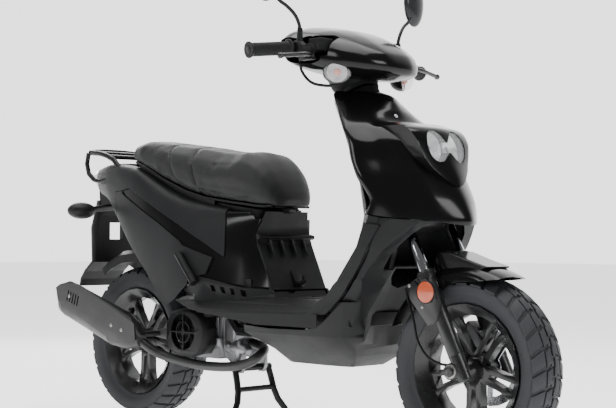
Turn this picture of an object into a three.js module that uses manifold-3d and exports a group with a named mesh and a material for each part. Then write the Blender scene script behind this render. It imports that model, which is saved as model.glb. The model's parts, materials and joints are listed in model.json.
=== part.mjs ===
// Moped scooter: step-through body, telescopic fork, engine swing unit and centre stand.
// Working frame in millimetres: +X forward, +Y to the rider's left, +Z up, zero on the ground
// midway between the axles. The export is shifted so that its box is centred over the origin.
import * as THREE from 'three';
import { mergeVertices } from 'three/addons/utils/BufferGeometryUtils.js';
import Module from 'manifold-3d';

const wasm = await Module();
wasm.setup();

// Driving dimensions
const wheelbase = 1320;
const headsetHeight = 1000;
const bodyWidth = 400;
const tyreRadius = 236;
const tyreWidth = 124;
const rimRadius = 166;
const rakeDegrees = 26.5;
const forkOffset = 30;
const legOffset = 50;
const legSpread = 85;
const rearLift = 4;

// Shared small sizes
const wall = 4;
const seatGap = 0.3;
const seam = 1;
const overrun = 40;
const weld = 1e-4;
const flatness = 0.03;

// Sizes that follow the driving dimensions
const bodyLengthShare = 1.13636;
const bodyLength = wheelbase * bodyLengthShare;
const halfBody = bodyWidth / 2;
const rake = THREE.MathUtils.degToRad(rakeDegrees);
const frontAxleX = wheelbase / 2;
const rearAxleX = -wheelbase / 2;
const rearAxleZ = tyreRadius + rearLift;
const forkTravel = 60;

const finish = (color, roughness, metalness) =>
  new THREE.MeshStandardMaterial({ color, roughness, metalness });
const glossBlack = finish(0x0b0b0d, 0.12, 0.1);
const satinCharcoal = finish(0x2a2b2e, 0.5, 0.05);
const matteGrey = finish(0x35363a, 0.62, 0.02);
const vinyl = finish(0x26272a, 0.7, 0);
const blackSteel = finish(0x17181a, 0.4, 0.6);
const chrome = finish(0xd5d8dc, 0.12, 1);
const silverAlloy = finish(0xa9abae, 0.4, 0.85);
const blackAlloy = finish(0x131416, 0.35, 0.7);
const rubber = finish(0x1b1c1f, 0.85, 0);
const clearLens = finish(0xe8edf2, 0.06, 0);
const redLens = finish(0x8d0f12, 0.15, 0);
const innerPlastic = finish(0x101113, 0.7, 0);

// Solids: a closed three.js geometry becomes a solid that can be joined and cut.
function toSolid(geometry) {
  const bare = geometry.clone();
  Object.keys(bare.attributes).filter((name) => name !== 'position')
    .forEach((name) => bare.deleteAttribute(name));
  const merged = mergeVertices(bare, weld);
  const place = merged.attributes.position.array;
  const corners = [];
  for (let i = 0; i < merged.index.count; i += 3) {
    const [a, b, c] = [0, 1, 2].map((k) => merged.index.getX(i + k));
    if (a !== b && b !== c && c !== a) corners.push(a, b, c);
  }
  let volume = 0;
  const [p, q, r] = [new THREE.Vector3(), new THREE.Vector3(), new THREE.Vector3()];
  for (let i = 0; i < corners.length; i += 3) {
    p.fromArray(place, corners[i] * 3);
    q.fromArray(place, corners[i + 1] * 3);
    r.fromArray(place, corners[i + 2] * 3);
    volume += p.dot(q.cross(r));
  }
  if (volume < 0) {
    for (let i = 0; i < corners.length; i += 3) {
      [corners[i], corners[i + 1]] = [corners[i + 1], corners[i]];
    }
  }
  return new wasm.Manifold(new wasm.Mesh({
    numProp: 3,
    vertProperties: new Float32Array(place),
    triVerts: new Uint32Array(corners),
    tolerance: flatness,
  }));
}

function toGeometry(solid) {
  const { vertProperties, triVerts } = solid.getMesh();
  const geometry = new THREE.BufferGeometry();
  geometry.setAttribute('position', new THREE.BufferAttribute(new Float32Array(vertProperties), 3));
  geometry.setIndex(new THREE.BufferAttribute(new Uint32Array(triVerts), 1));
  const flat = geometry.toNonIndexed();
  flat.computeVertexNormals();
  return flat;
}

const join = (...solids) => solids.reduce((sum, solid) => sum.add(solid));
const cut = (base, ...tools) => tools.reduce((rest, tool) => rest.subtract(tool), base);
const mirrorY = (solid) => toSolid(toGeometry(solid).scale(1, -1, 1));
const bothSides = (solid) => join(solid, mirrorY(solid));

function mesh(name, solid, material) {
  const part = new THREE.Mesh(toGeometry(solid), material);
  part.name = name;
  return part;
}

// Moves a geometry: turns about X, Y and Z in degrees, then a shift.
function placed(geometry, shift = [0, 0, 0], turns = [0, 0, 0]) {
  const euler = new THREE.Euler(...turns.map(THREE.MathUtils.degToRad), 'XYZ');
  return geometry.clone().applyMatrix4(new THREE.Matrix4().makeRotationFromEuler(euler))
    .translate(...shift);
}

const box = (size, centre, turns) => toSolid(placed(new THREE.BoxGeometry(...size), centre, turns));

// Round bar or tapered bar between two points.
function bar(from, to, radius, endRadius = radius, sides = 16) {
  const a = new THREE.Vector3(...from);
  const b = new THREE.Vector3(...to);
  const span = b.clone().sub(a);
  const geometry = new THREE.CylinderGeometry(endRadius, radius, span.length(), sides);
  const turn = new THREE.Quaternion().setFromUnitVectors(new THREE.Vector3(0, 1, 0), span.normalize());
  return toSolid(geometry.applyQuaternion(turn).translate(...a.add(b).multiplyScalar(0.5).toArray()));
}

// Round bar across the vehicle, centred on a point of the side view.
const crossBar = (x, z, radius, y0, y1, sides = 12) => bar([x, y0, z], [x, y1, z], radius, radius, sides);

// Bent tube through points, with flat ends.
function tube(points, radius, steps = 16, sides = 10) {
  const curve = new THREE.CatmullRomCurve3(points.map((p) => new THREE.Vector3(...p)), false,
    'centripetal');
  const ring = new THREE.Shape(circlePoints(0, 0, radius, sides).map((p) => new THREE.Vector2(...p)));
  return toSolid(new THREE.ExtrudeGeometry(ring, { steps, extrudePath: curve, bevelEnabled: false }));
}

// Plate: an outline of the side view carried across the vehicle from y0 to y1.
function plate(points, y0, y1, holes = []) {
  const outline = new THREE.Shape(points.map((p) => new THREE.Vector2(...p)));
  holes.forEach((hole) => outline.holes.push(new THREE.Path(hole.map((p) => new THREE.Vector2(...p)))));
  const geometry = new THREE.ExtrudeGeometry(outline, { depth: y1 - y0, bevelEnabled: false });
  return toSolid(geometry.rotateX(Math.PI / 2).translate(0, y1, 0));
}

// Turned solid about an axis that starts at a point and runs across the vehicle by default.
function turned(profile, segments, shift = [0, 0, 0], turns = [0, 0, 0]) {
  const points = profile.map((p) => new THREE.Vector2(...p));
  return toSolid(placed(new THREE.LatheGeometry(points, segments), shift, turns));
}

const circlePoints = (cx, cy, radius, count, start = 0) => Array.from({ length: count }, (_, i) => {
  const angle = start + (i / count) * Math.PI * 2;
  return [cx + radius * Math.cos(angle), cy + radius * Math.sin(angle)];
});

// Closed skin over rings of equally many points, with flat ends.
function skin(rings) {
  const count = rings[0].length;
  const place = rings.flat().flatMap((p) => p.toArray());
  const index = [];
  for (let i = 0; i < rings.length - 1; i += 1) {
    for (let j = 0; j < count; j += 1) {
      const a = i * count + j;
      const b = i * count + ((j + 1) % count);
      index.push(a, b, b + count, a, b + count, a + count);
    }
  }
  [0, rings.length - 1].forEach((end) => {
    const ring = rings[end];
    const normal = new THREE.Vector3();
    ring.forEach((p, j) => normal.add(p.clone().cross(ring[(j + 1) % count])));
    const size = normal.toArray().map(Math.abs);
    const keep = [['y', 'z'], ['z', 'x'], ['x', 'y']][size.indexOf(Math.max(...size))];
    const flat = ring.map((p) => new THREE.Vector2(p[keep[0]], p[keep[1]]));
    const way = Math.sign(THREE.ShapeUtils.area(flat)) * (end === 0 ? -1 : 1);
    THREE.ShapeUtils.triangulateShape(flat, []).forEach((tri) => {
      const ordered = THREE.ShapeUtils.area(tri.map((k) => flat[k])) * way > 0 ? tri : tri.toReversed();
      index.push(...ordered.map((k) => end * count + k));
    });
  });
  const geometry = new THREE.BufferGeometry();
  geometry.setAttribute('position', new THREE.Float32BufferAttribute(place, 3));
  geometry.setIndex(index);
  return toSolid(geometry);
}

// Smooth rings through stations: each station is a closed loop of control points.
function smoothRings(stations, ringCount, count) {
  const loops = stations.map((points) => {
    const curve = new THREE.CatmullRomCurve3(points, true, 'catmullrom', 0.4);
    return Array.from({ length: count }, (_, j) => curve.getPoint(j / count));
  });
  const rails = loops[0].map((_, j) =>
    new THREE.CatmullRomCurve3(loops.map((loop) => loop[j]), false, 'catmullrom', 0.4));
  return Array.from({ length: ringCount }, (_, i) =>
    rails.map((rail) => rail.getPoint(i / (ringCount - 1))));
}

// Rings drawn in by a wall, each in its own plane, which keeps one coordinate.
function insetRings(rings, inset, planeNormal) {
  return rings.map((ring) => ring.map((p, j) => {
    const before = ring[(j + ring.length - 1) % ring.length];
    const after = ring[(j + 1) % ring.length];
    const along = after.clone().sub(before).normalize();
    const inward = planeNormal.clone().cross(along);
    return p.clone().add(inward.multiplyScalar(inset));
  }));
}

function shiftedEnds(rings, startShift, endShift, direction) {
  return rings.map((ring, i) => {
    const amount = (i === 0 ? startShift : 0) + (i === rings.length - 1 ? endShift : 0);
    return ring.map((p) => p.clone().add(direction.clone().multiplyScalar(amount)));
  });
}

const along = (share) => share * bodyLength;
const across = (share) => share * halfBody;
const up = (share) => share * headsetHeight;
const sidePoints = (shares) => shares.map(([x, z]) => [along(x), up(z)]);
const spanY = [-halfBody - overrun, halfBody + overrun];
const sideCutter = (shares) => plate(sidePoints(shares), ...spanY);

// Steering axis: runs through axisFoot, leaning back by the rake.
const axisUp = new THREE.Vector3(-Math.sin(rake), 0, Math.cos(rake));
const axisAhead = new THREE.Vector3(Math.cos(rake), 0, Math.sin(rake));
const frontAxle = new THREE.Vector3(frontAxleX, 0, tyreRadius);
const axisFoot = frontAxle.clone().addScaledVector(axisAhead, -forkOffset);
const onAxis = (height) => axisFoot.clone().addScaledVector(axisUp, height);
const lowerYokeHeight = (up(0.6) - axisFoot.z) / axisUp.z;
const stemTopHeight = (up(1.05) - axisFoot.z) / axisUp.z;

// Leg shield: plan outlines from the floor up. Each row is a height share, then the rear
// middle, rear bulge, rear edge, side, nose shoulder and nose, as shares of length and half width.
const shieldShares = [
  [0.366, [0.1433, 0], [0.15, 0.45], [0.1747, 1.03], [0.22, 0.95], [0.2667, 0.6], [0.28, 0]],
  [0.42, [0.19, 0], [0.1947, 0.45], [0.2253, 1.04], [0.2733, 0.9], [0.32, 0.55], [0.3467, 0]],
  [0.5, [0.22, 0], [0.2253, 0.46], [0.272, 1.03], [0.32, 0.84], [0.3633, 0.525], [0.39, 0]],
  [0.55, [0.232, 0], [0.2373, 0.46], [0.2907, 1.01], [0.3367, 0.8], [0.3833, 0.475], [0.408, 0]],
  [0.606, [0.24, 0], [0.2453, 0.45], [0.3, 0.985], [0.3533, 0.76], [0.4, 0.4], [0.4267, 0]],
  [0.66, [0.2347, 0], [0.2413, 0.44], [0.312, 0.95], [0.35, 0.76], [0.3947, 0.4], [0.4147, 0]],
  [0.72, [0.22, 0], [0.228, 0.41], [0.2893, 1.0], [0.328, 0.79], [0.3733, 0.425], [0.392, 0]],
  [0.77, [0.2033, 0], [0.212, 0.39], [0.272, 0.98], [0.3107, 0.74], [0.352, 0.45], [0.3653, 0]],
  [0.815, [0.1867, 0], [0.196, 0.37], [0.2613, 0.95], [0.2987, 0.71], [0.3367, 0.46], [0.3453, 0]],
  [0.85, [0.1747, 0], [0.184, 0.36], [0.244, 0.91], [0.2793, 0.67], [0.3133, 0.425], [0.325, 0]],
  [0.868, [0.168, 0], [0.1773, 0.35], [0.2333, 0.86], [0.268, 0.62], [0.28, 0.35], [0.2833, 0]],
  [0.905, [0.1547, 0], [0.164, 0.32], [0.208, 0.76], [0.238, 0.53], [0.258, 0.3], [0.268, 0]],
  [0.945, [0.1413, 0], [0.148, 0.3], [0.1873, 0.66], [0.207, 0.46], [0.2293, 0.26], [0.247, 0]],
  [0.96, [0.1413, 0], [0.1453, 0.26], [0.178, 0.56], [0.196, 0.38], [0.2113, 0.22], [0.2227, 0]],
];
const shieldRingCount = 10;
const flatUp = new THREE.Vector3(0, 0, 1);

function planLoop(height, shares) {
  const half = shares.map(([x, y]) => new THREE.Vector3(along(x), -across(y), height));
  const mirrored = half.slice(1, -1).reverse().map((p) => new THREE.Vector3(p.x, -p.y, p.z));
  return [...half, ...mirrored];
}

function shieldSolid(inset, bottomShift = 0, topShift = 0) {
  const stations = shieldShares.map(([height, ...points]) => planLoop(up(height), points));
  const rings = smoothRings(stations, shieldRingCount, 14);
  return skin(shiftedEnds(insetRings(rings, inset, flatUp), bottomShift, topShift, flatUp));
}

// Belly: plan outlines of the tub under the floor, one row per height.
const bellyShares = [
  [0.218, [0.03, 0], [0.032, 0.2], [0.04, 0.33], [0.15, 0.36], [0.2, 0.28], [0.23, 0]],
  [0.245, [0.012, 0], [0.015, 0.27], [0.03, 0.48], [0.18, 0.52], [0.225, 0.38], [0.25, 0]],
  [0.28, [-0.014, 0], [-0.012, 0.36], [0, 0.72], [0.19, 0.76], [0.245, 0.55], [0.27, 0]],
  [0.322, [-0.04, 0], [-0.038, 0.5], [-0.03, 0.96], [0.19, 1.01], [0.26, 0.8], [0.29, 0]],
  [0.4, [-0.04, 0], [-0.038, 0.5], [-0.03, 0.96], [0.21, 1.03], [0.27, 0.85], [0.3, 0]],
];

function bellySolid(inset, bottomShift = 0, topShift = 0) {
  const stations = bellyShares.map(([height, ...points]) => planLoop(up(height), points));
  const rings = smoothRings(stations, 4, 14);
  return skin(shiftedEnds(insetRings(rings, inset, flatUp), bottomShift, topShift, flatUp));
}

// Space that the wheel, mudguard and fork sweep as they steer and rise.
const guardRadius = 264;
const guardHalfWidth = 72;
const wheelClearance = 9;
const forkSweepRadius = 128;
const forkSweepBack = 49;

const wellRings = 7;
const wellSegments = 20;

function axisLathe(profile) {
  const points = profile.map((p) => new THREE.Vector2(...p));
  return toSolid(new THREE.LatheGeometry(points, wellSegments)
    .rotateX(Math.PI / 2).rotateY(-rake).translate(...axisFoot.toArray()));
}

function wheelWell(extra) {
  const reach = (height) => {
    const level = Math.max(0, Math.abs(height - forkTravel / 2) - forkTravel / 2);
    const depth = Math.sqrt(Math.max(0, guardRadius ** 2 - level ** 2)) - forkOffset;
    return Math.hypot(Math.max(0, depth), guardHalfWidth) + wheelClearance + extra;
  };
  const bottom = -guardRadius;
  const wheelTop = guardRadius + forkTravel;
  const levels = Array.from({ length: wellRings + 1 }, (_, i) =>
    bottom + (wheelTop - bottom) * (i / wellRings));
  const profile = levels.map((height) => [reach(height), height]);
  const cap = [profile.at(-1)[0], wheelTop + extra];
  return axisLathe([[0, bottom], ...profile, cap, [0, wheelTop + extra]].filter((p, i, all) =>
    i === 0 || p[0] !== all[i - 1][0] || p[1] !== all[i - 1][1]));
}

// Upper part of the sweep: open ahead of the steering axis, close behind it.
function forkWell() {
  const top = lowerYokeHeight + legOffset;
  const round = axisLathe([[0, 0], [forkSweepRadius, 0], [forkSweepRadius, top], [0, top]]);
  const depth = forkSweepRadius * 2;
  const front = toSolid(new THREE.BoxGeometry(depth + forkSweepBack, depth * 2, top * 2)
    .translate((depth - forkSweepBack) / 2, 0, 0).rotateY(-rake).translate(...axisFoot.toArray()));
  return round.intersect(front);
}

// Outline of the front view (Y, Z) carried along the vehicle from x0 to x1.
function frontPlate(points, x0, x1) {
  const outline = new THREE.Shape(points.map((p) => new THREE.Vector2(...p)));
  const geometry = new THREE.ExtrudeGeometry(outline, { depth: x1 - x0, bevelEnabled: false });
  const turn = new THREE.Matrix4().makeBasis(
    new THREE.Vector3(0, 1, 0), new THREE.Vector3(0, 0, 1), new THREE.Vector3(1, 0, 0));
  return toSolid(geometry.applyMatrix4(turn).translate(x0, 0, 0));
}

// Front fairing, inner leg shield and lower leg shield share one outer form.
const fairingShares = [
  [0.2967, 0.629], [0.34, 0.618], [0.3733, 0.613], [0.4, 0.606], [0.45, 0.588], [0.47, 0.7],
  [0.42, 0.99], [0.16, 0.99], [0.1827, 0.958], [0.1893, 0.945], [0.2127, 0.905], [0.2333, 0.868],
  [0.2413, 0.85], [0.2573, 0.815], [0.268, 0.77], [0.2853, 0.72], [0.305, 0.67], [0.307, 0.65],
];
const innerShares = [
  [0.1, 0.374], [0.22, 0.374], [0.244, 0.406], [0.2787, 0.466], [0.306, 0.535], [0.324, 0.6],
  [0.3247, 0.618], [0.2947, 0.628], [0.3047, 0.652], [0.3027, 0.668], [0.2827, 0.72],
  [0.2653, 0.77], [0.2547, 0.815], [0.2387, 0.85], [0.2307, 0.868], [0.21, 0.905],
  [0.1867, 0.945], [0.18, 0.957], [0.12, 0.99], [0.02, 0.9], [0.02, 0.45],
];
const lowerShares = [
  [-0.05, 0.33], [0.06, 0.32], [0.154, 0.322], [0.184, 0.33], [0.2087, 0.353], [0.2453, 0.401],
  [0.28, 0.461], [0.3073, 0.531], [0.3253, 0.597], [0.3253, 0.6165], [0.34, 0.615], [0.3733, 0.61],
  [0.3787, 0.608], [0.3433, 0.553], [0.3273, 0.53], [0.3, 0.484], [0.2733, 0.41], [0.26, 0.35],
  [0.2633, 0.303], [0.24, 0.285], [0.22, 0.25], [0.1933, 0.22], [0, 0.22], [-0.05, 0.26],
];
const lowerHollowShares = [
  [-0.06, 0.36], [0.06, 0.42], [0.154, 0.45], [0.184, 0.5], [0.25, 0.66], [0.36, 0.66],
  [0.3757, 0.608], [0.3403, 0.553], [0.3243, 0.53], [0.297, 0.484], [0.2703, 0.41], [0.257, 0.35],
  [0.259, 0.3], [0.238, 0.29], [0.218, 0.254], [0.193, 0.2303], [0, 0.2303], [-0.06, 0.26],
];
const lensWall = 4;
const lens = { x: up(0.455), recess: 5, halfGap: 40, halfWide: 34, halfTall: 42, height: up(0.802) };
const bezelWall = 5;

function lampOutline(margin) {
  return circlePoints(0, 0, 1, 14).map(([a, b]) =>
    [lens.halfGap + a * (lens.halfWide + margin), lens.height + b * (lens.halfTall + margin)]);
}

function lampPrism(margin, x0, x1) {
  const lobe = frontPlate(lampOutline(margin), x0, x1);
  const bridgeHalf = lens.halfTall * bridgeShare + margin;
  const bridgeZ = lens.height - lens.halfTall * bridgeShare;
  const bridge = box([x1 - x0, lens.halfGap * 2, bridgeHalf * 2], [(x0 + x1) / 2, 0, bridgeZ]);
  return join(bothSides(lobe), bridge);
}
const bridgeShare = 0.45;

const lampFront = up(0.7);
const shieldOuter = shieldSolid(0);

// Lamp pod: a raised part of the same form inside a shield-shaped outline of the front view
const podShares = [[0, 0.697], [0.15, 0.708], [0.35, 0.741], [0.49, 0.79], [0.57, 0.862], [0.45, 0.87],
  [0, 0.864]];
const podRiseShares = [[0.69, 0], [0.72, 0.05], [0.78, 0.17], [0.84, 0.27], [0.9, 0.27]];
const podCentre = 0.79;
const podRoomShare = 0.955;
const podBack = up(0.365);
function podRise(z) {
  const next = podRiseShares.findIndex(([height]) => up(height) > z);
  if (next < 1) return next < 0 ? across(podRiseShares.at(-1)[1]) : 0;
  const [[low, from], [high, to]] = podRiseShares.slice(next - 1, next + 1);
  return across(from + (to - from) * ((z - up(low)) / up(high - low)));
}
function podSolid(inset) {
  const stations = shieldShares.map(([height, ...points]) => planLoop(up(height), points));
  const rings = smoothRings(stations, shieldRingCount, 14);
  return skin(rings.flatMap((ring) => insetRings([ring], inset - podRise(ring[0].z), flatUp)));
}
function podPrism(share) {
  const half = podShares.map(([y, z]) => [across(y) * share, up(podCentre + (z - podCentre) * share)]);
  const other = half.slice(1, -1).reverse().map(([y, z]) => [-y, z]);
  return frontPlate([...half, ...other], podBack, lampFront);
}
const shieldInner = shieldSolid(wall, 0, -wall);
const shieldShell = cut(shieldOuter, shieldInner);
const columnRadius = 40;
const columnTube = bar(onAxis(lowerYokeHeight).toArray(), onAxis(stemTopHeight).toArray(),
  columnRadius, columnRadius, 16);
const neck = (radius) => bar(onAxis(neckFoot).toArray(), onAxis(neckTop).toArray(), radius,
  radius * neckTaperShare, 20);
const neckFoot = (up(0.9) - axisFoot.z) / axisUp.z;
const neckTop = (up(0.96) - axisFoot.z) / axisUp.z;
const neckTaperShare = 0.92;

function frontFairing() {
  const room = podPrism(podRoomShare);
  const body = cut(shieldShell.intersect(sideCutter(fairingShares)), room);
  const pod = cut(podPrism(1).intersect(podSolid(0)), room.intersect(podSolid(wall)), shieldInner);
  const mouth = lampPrism(seatGap, lens.x - overrun, lampFront + overrun);
  const bezel = lampPrism(bezelWall, lens.x, lampFront).intersect(podSolid(0));
  return cut(join(body, pod, bezel), mouth, neck(neckRadius + seam));
}
const neckRadius = 52;

function innerLegshield() {
  const panel = shieldShell.intersect(sideCutter(innerShares));
  return cut(join(panel, neck(neckRadius)), columnTube);
}

function lowerLegshield() {
  const outer = join(shieldSolid(0), bellySolid(0)).intersect(sideCutter(lowerShares));
  const hollow = cut(
    join(shieldSolid(wall, -wall * 2, overrun), bellySolid(wall, wall,
      overrun)).intersect(sideCutter(lowerHollowShares)),
    wheelWell(wall));
  return cut(outer, wheelWell(0), forkWell(), hollow, railTunnel());
}

const at = ([x, y, z]) => [along(x), across(y), up(z)];
const route = (shares) => shares.map(at);
const sided = ([x, y, z], side) => at([x, y * side, z]);
const middle = [0, 0, 0];
const moved = (solid, shift, turns) => toSolid(placed(toGeometry(solid), shift, turns));
const pieces = [];
const add = (name, solid, material) => pieces.push(mesh(name, solid, material));

function headlightLens() {
  const outer = lampPrism(0, lens.x, lampFront).intersect(podSolid(lens.recess));
  const inner = lampPrism(-lensWall, lens.x - overrun,
    lampFront).intersect(podSolid(lens.recess + lensWall));
  return cut(outer, inner);
}

// Rear body: rings along the vehicle. Each row is a place along, then the height and half width
// of the top, the half width and height of the middle, and those of the lower edge.
const bodyShares = [
  [-0.5733, 0.795, 0.275, 0.36, 0.77, 0.3, 0.735],
  [-0.5333, 0.8, 0.425, 0.49, 0.762, 0.44, 0.712],
  [-0.48, 0.806, 0.56, 0.64, 0.752, 0.6, 0.69],
  [-0.4267, 0.8, 0.625, 0.725, 0.73, 0.7, 0.622],
  [-0.3733, 0.784, 0.65, 0.79, 0.7, 0.79, 0.54],
  [-0.32, 0.75, 0.665, 0.84, 0.665, 0.84, 0.46],
  [-0.2667, 0.714, 0.675, 0.87, 0.625, 0.875, 0.39],
  [-0.2133, 0.686, 0.68, 0.89, 0.59, 0.91, 0.352],
  [-0.16, 0.668, 0.67, 0.88, 0.56, 0.93, 0.352],
  [-0.1067, 0.655, 0.63, 0.81, 0.53, 0.95, 0.352],
  [-0.0533, 0.65, 0.56, 0.68, 0.52, 0.9, 0.352],
  [0, 0.644, 0.43, 0.47, 0.5, 0.75, 0.352],
  [0.03, 0.64, 0.36, 0.41, 0.48, 0.68, 0.352],
  [0.0667, 0.636, 0.3, 0.38, 0.47, 0.6, 0.352],
];
const bodyRingCount = 10;
const rearward = new THREE.Vector3(-1, 0, 0);
const lowMiddleShare = 0.6;
const topShoulderDrop = 8;

const closedTailStations = 3;

function bodyLoop([x, topZ, topHalf, midHalf, midZ, lowHalf, lowZ], station, drop) {
  const lowered = station < closedTailStations ? 0 : drop;
  const half = [
    [0, lowZ], [lowHalf * lowMiddleShare, lowZ], [lowHalf, lowZ], [midHalf, midZ], [topHalf, topZ],
  ].map(([y, z], i) => {
    const fall = i < 3 ? lowered : (i === 4 ? topShoulderDrop : 0);
    return new THREE.Vector3(along(x), -across(y), up(z) - fall);
  });
  const top = new THREE.Vector3(along(x), 0, up(topZ));
  const mirrored = half.slice(1).reverse().map((p) => new THREE.Vector3(p.x, -p.y, p.z));
  return [...half, top, ...mirrored];
}

function bodySolid(inset, tailShift = 0, noseShift = 0) {
  const drop = inset > 0 ? overrun : 0;
  const rings = smoothRings(bodyShares.map((row, i) => bodyLoop(row, i, drop)), bodyRingCount, 12);
  return skin(shiftedEnds(insetRings(rings, inset, rearward), -tailShift, -noseShift, rearward));
}

const coverOuter = bodySolid(0);
const coverInner = bodySolid(wall, wall, overrun);
const coverShell = cut(coverOuter, coverInner);
const centreOuter = bodySolid(wall + seatGap, wall + seatGap, overrun);
const centreInner = bodySolid(wall * 2 + seatGap, wall * 2 + seatGap, overrun + wall);
const centreShell = cut(centreOuter, centreInner);

// Front profile of the pedestal under the seat, from the seat down to the floor.
const pedestalShares = [[-0.0137, 0.66], [-0.0163, 0.64], [-0.0217, 0.605], [-0.025, 0.575], [-0.021,
  0.545],
  [-0.0103, 0.51], [0.0017, 0.474], [0.015, 0.43], [0.0317, 0.39], [0.0363, 0.37], [0.0363, 0.34]];
const profileShifted = (shift) => sidePoints(pedestalShares).map(([x, z]) => [x - shift, z]);
const behindProfile = (shift) => [
  ...profileShifted(shift), [-bodyLength, up(pedestalFootShare)], [-bodyLength, up(pedestalHeadShare)],
  [profileShifted(shift)[0][0], up(pedestalHeadShare)],
];
const pedestalFootShare = 0.3;
const pedestalHeadShare = 0.9;
const bodyCutter = plate(behindProfile(0), ...spanY);

const cowlShares = [[-0.5867, 0.84], [-0.5867, 0.7], [-0.5333, 0.69], [-0.49, 0.686], [-0.4487, 0.65],
  [-0.4313, 0.625], [-0.4313, 0.713], [-0.408, 0.713], [-0.3793, 0.72], [-0.2967, 0.665],
    [-0.2027, 0.604], [-0.1427, 0.56], [-0.084, 0.512], [-0.0913, 0.612], [-0.1007, 0.65],
      [-0.1007, 0.7], [-0.2933, 0.78]];
const rearCoverShares = [[-0.43, 0.622], [-0.43, 0.711], [-0.408, 0.711], [-0.4, 0.7], [-0.3467, 0.664],
  [-0.2667, 0.61], [-0.2, 0.56], [-0.16, 0.51], [-0.1667, 0.432], [-0.2067, 0.386], [-0.246, 0.358],
    [-0.2713, 0.41], [-0.304, 0.463], [-0.3533, 0.526], [-0.4107, 0.603]];
const centreCoverShares = [[-0.424, 0.702], [-0.4013, 0.692], [-0.3467, 0.656], [-0.2667, 0.602],
  [-0.2, 0.552], [-0.1667, 0.512], [-0.172, 0.47], [-0.15, 0.45], [-0.0353, 0.432], [0.04, 0.424],
    [0.06, 0.424], [0.02, 0.5], [0.0053, 0.56], [0.008, 0.6], [0.0147, 0.7], [-0.1067, 0.7],
      [-0.1067, 0.646], [-0.0973, 0.612], [-0.0893, 0.52], [-0.1427, 0.569], [-0.2027, 0.612],
        [-0.2967, 0.673], [-0.3793, 0.728], [-0.4053, 0.72]];
const ventShares = [[-0.2067, 0.386], [-0.1653, 0.43], [-0.1587, 0.446], [-0.1447, 0.459],
  [-0.0353, 0.426], [0.0553, 0.417], [0.0667, 0.38], [0.0667, 0.366], [-0.11, 0.366], [-0.1733, 0.372]];

const openTopHalf = 106;
const topOpening = () => {
  const [x0, x1] = openTopShares.map(along);
  return box([x1 - x0, openTopHalf * 2, headsetHeight], [(x0 + x1) / 2, 0, up(topOpeningShare)]);
};
const openTopShares = [-0.4667, 0.1];
const topOpeningShare = 1.12;
const lampCutShares = [[-0.5867, 0.722], [-0.5867, 0.806], [-0.548, 0.806], [-0.548, 0.722]];

function seatCowl() {
  const lamp = sideCutter(lampCutShares);
  return cut(coverShell.intersect(sideCutter(cowlShares)), topOpening(), lamp, rackPath(rackGap));
}

function rearCover(side) {
  const half = box([bodyLength * 2, bodyWidth, headsetHeight * 2],
    [0, side * (bodyWidth / 2 + seam), headsetHeight]);
  return coverShell.intersect(sideCutter(rearCoverShares)).intersect(half);
}

function tailLight() {
  const points = sidePoints(lampCutShares);
  const inner = points.map(([x, z], i) => [x - (i > 1 ? seam : 0), z + (i % 3 === 0 ? seam : -seam)]);
  return coverShell.intersect(plate(inner, ...spanY));
}

const panelWall = 5;
function seatFrontPanel() {
  const face = plate([...profileShifted(0), ...profileShifted(panelWall).reverse()], ...spanY);
  const ledge = plate(sidePoints(ledgeShares), -across(ledgeHalfShare), across(ledgeHalfShare));
  const rib = (i) => plate(sidePoints(ribShares), ribPitch * (i - ribCount / 2),
    ribPitch * (i - ribCount / 2) + ribWidth);
  const ribs = Array.from({ length: ribCount + 1 }, (_, i) => rib(i));
  return cut(join(face.intersect(coverInner).intersect(panelBand), ledge, ...ribs, bagHook()),
    hingeArm(seatGap));
}
const ledgeShares = [[-0.027, 0.577], [-0.017, 0.573], [-0.0157, 0.566], [-0.021, 0.561], [-0.027, 0.565]];
const ledgeHalfShare = 0.55;
const ribShares = [[-0.0257, 0.565], [-0.0203, 0.562], [-0.0163, 0.548], [-0.0063, 0.514], [-0.009, 0.514],
  [-0.021, 0.546], [-0.025, 0.56]];
const ribCount = 3;
const ribPitch = 45;
const ribWidth = 6;
const band = (tallShare, centreShare) => box([bodyLength, bodyWidth, up(tallShare)], [0, 0,
  up(centreShare)]);
const panelBand = band(0.23, 0.535);

function bagHook() {
  const base = plate(sidePoints(hookBaseShares), -hook.halfBase, hook.halfBase);
  const arm = plate(sidePoints(hookArmShares), -hook.halfArm, hook.halfArm);
  return join(base, arm);
}
const hook = { halfBase: 16, halfArm: 6 };
const hookBaseShares = [[-0.001, 0.474], [0.0023, 0.474], [0.019, 0.428], [0.015, 0.424], [0.0123, 0.432]];
const hookArmShares = [[0.0057, 0.452], [0.0163, 0.44], [0.027, 0.446], [0.0283, 0.46], [0.0317, 0.46],
  [0.031, 0.44], [0.0177, 0.43], [0.0083, 0.436]];

function centreCover() {
  const sides = centreShell.intersect(sideCutter(centreCoverShares));
  const front = plate([...profileShifted(panelWall + seatGap),
    ...profileShifted(panelWall * 2).reverse()], ...spanY);
  const kept = plate(behindProfile(panelWall + seatGap), ...spanY);
  return cut(join(sides, front.intersect(centreOuter).intersect(frontBand)).intersect(kept), topOpening(),
    hingeArm(seatGap));
}
const frontBand = band(0.12, 0.56);

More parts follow.
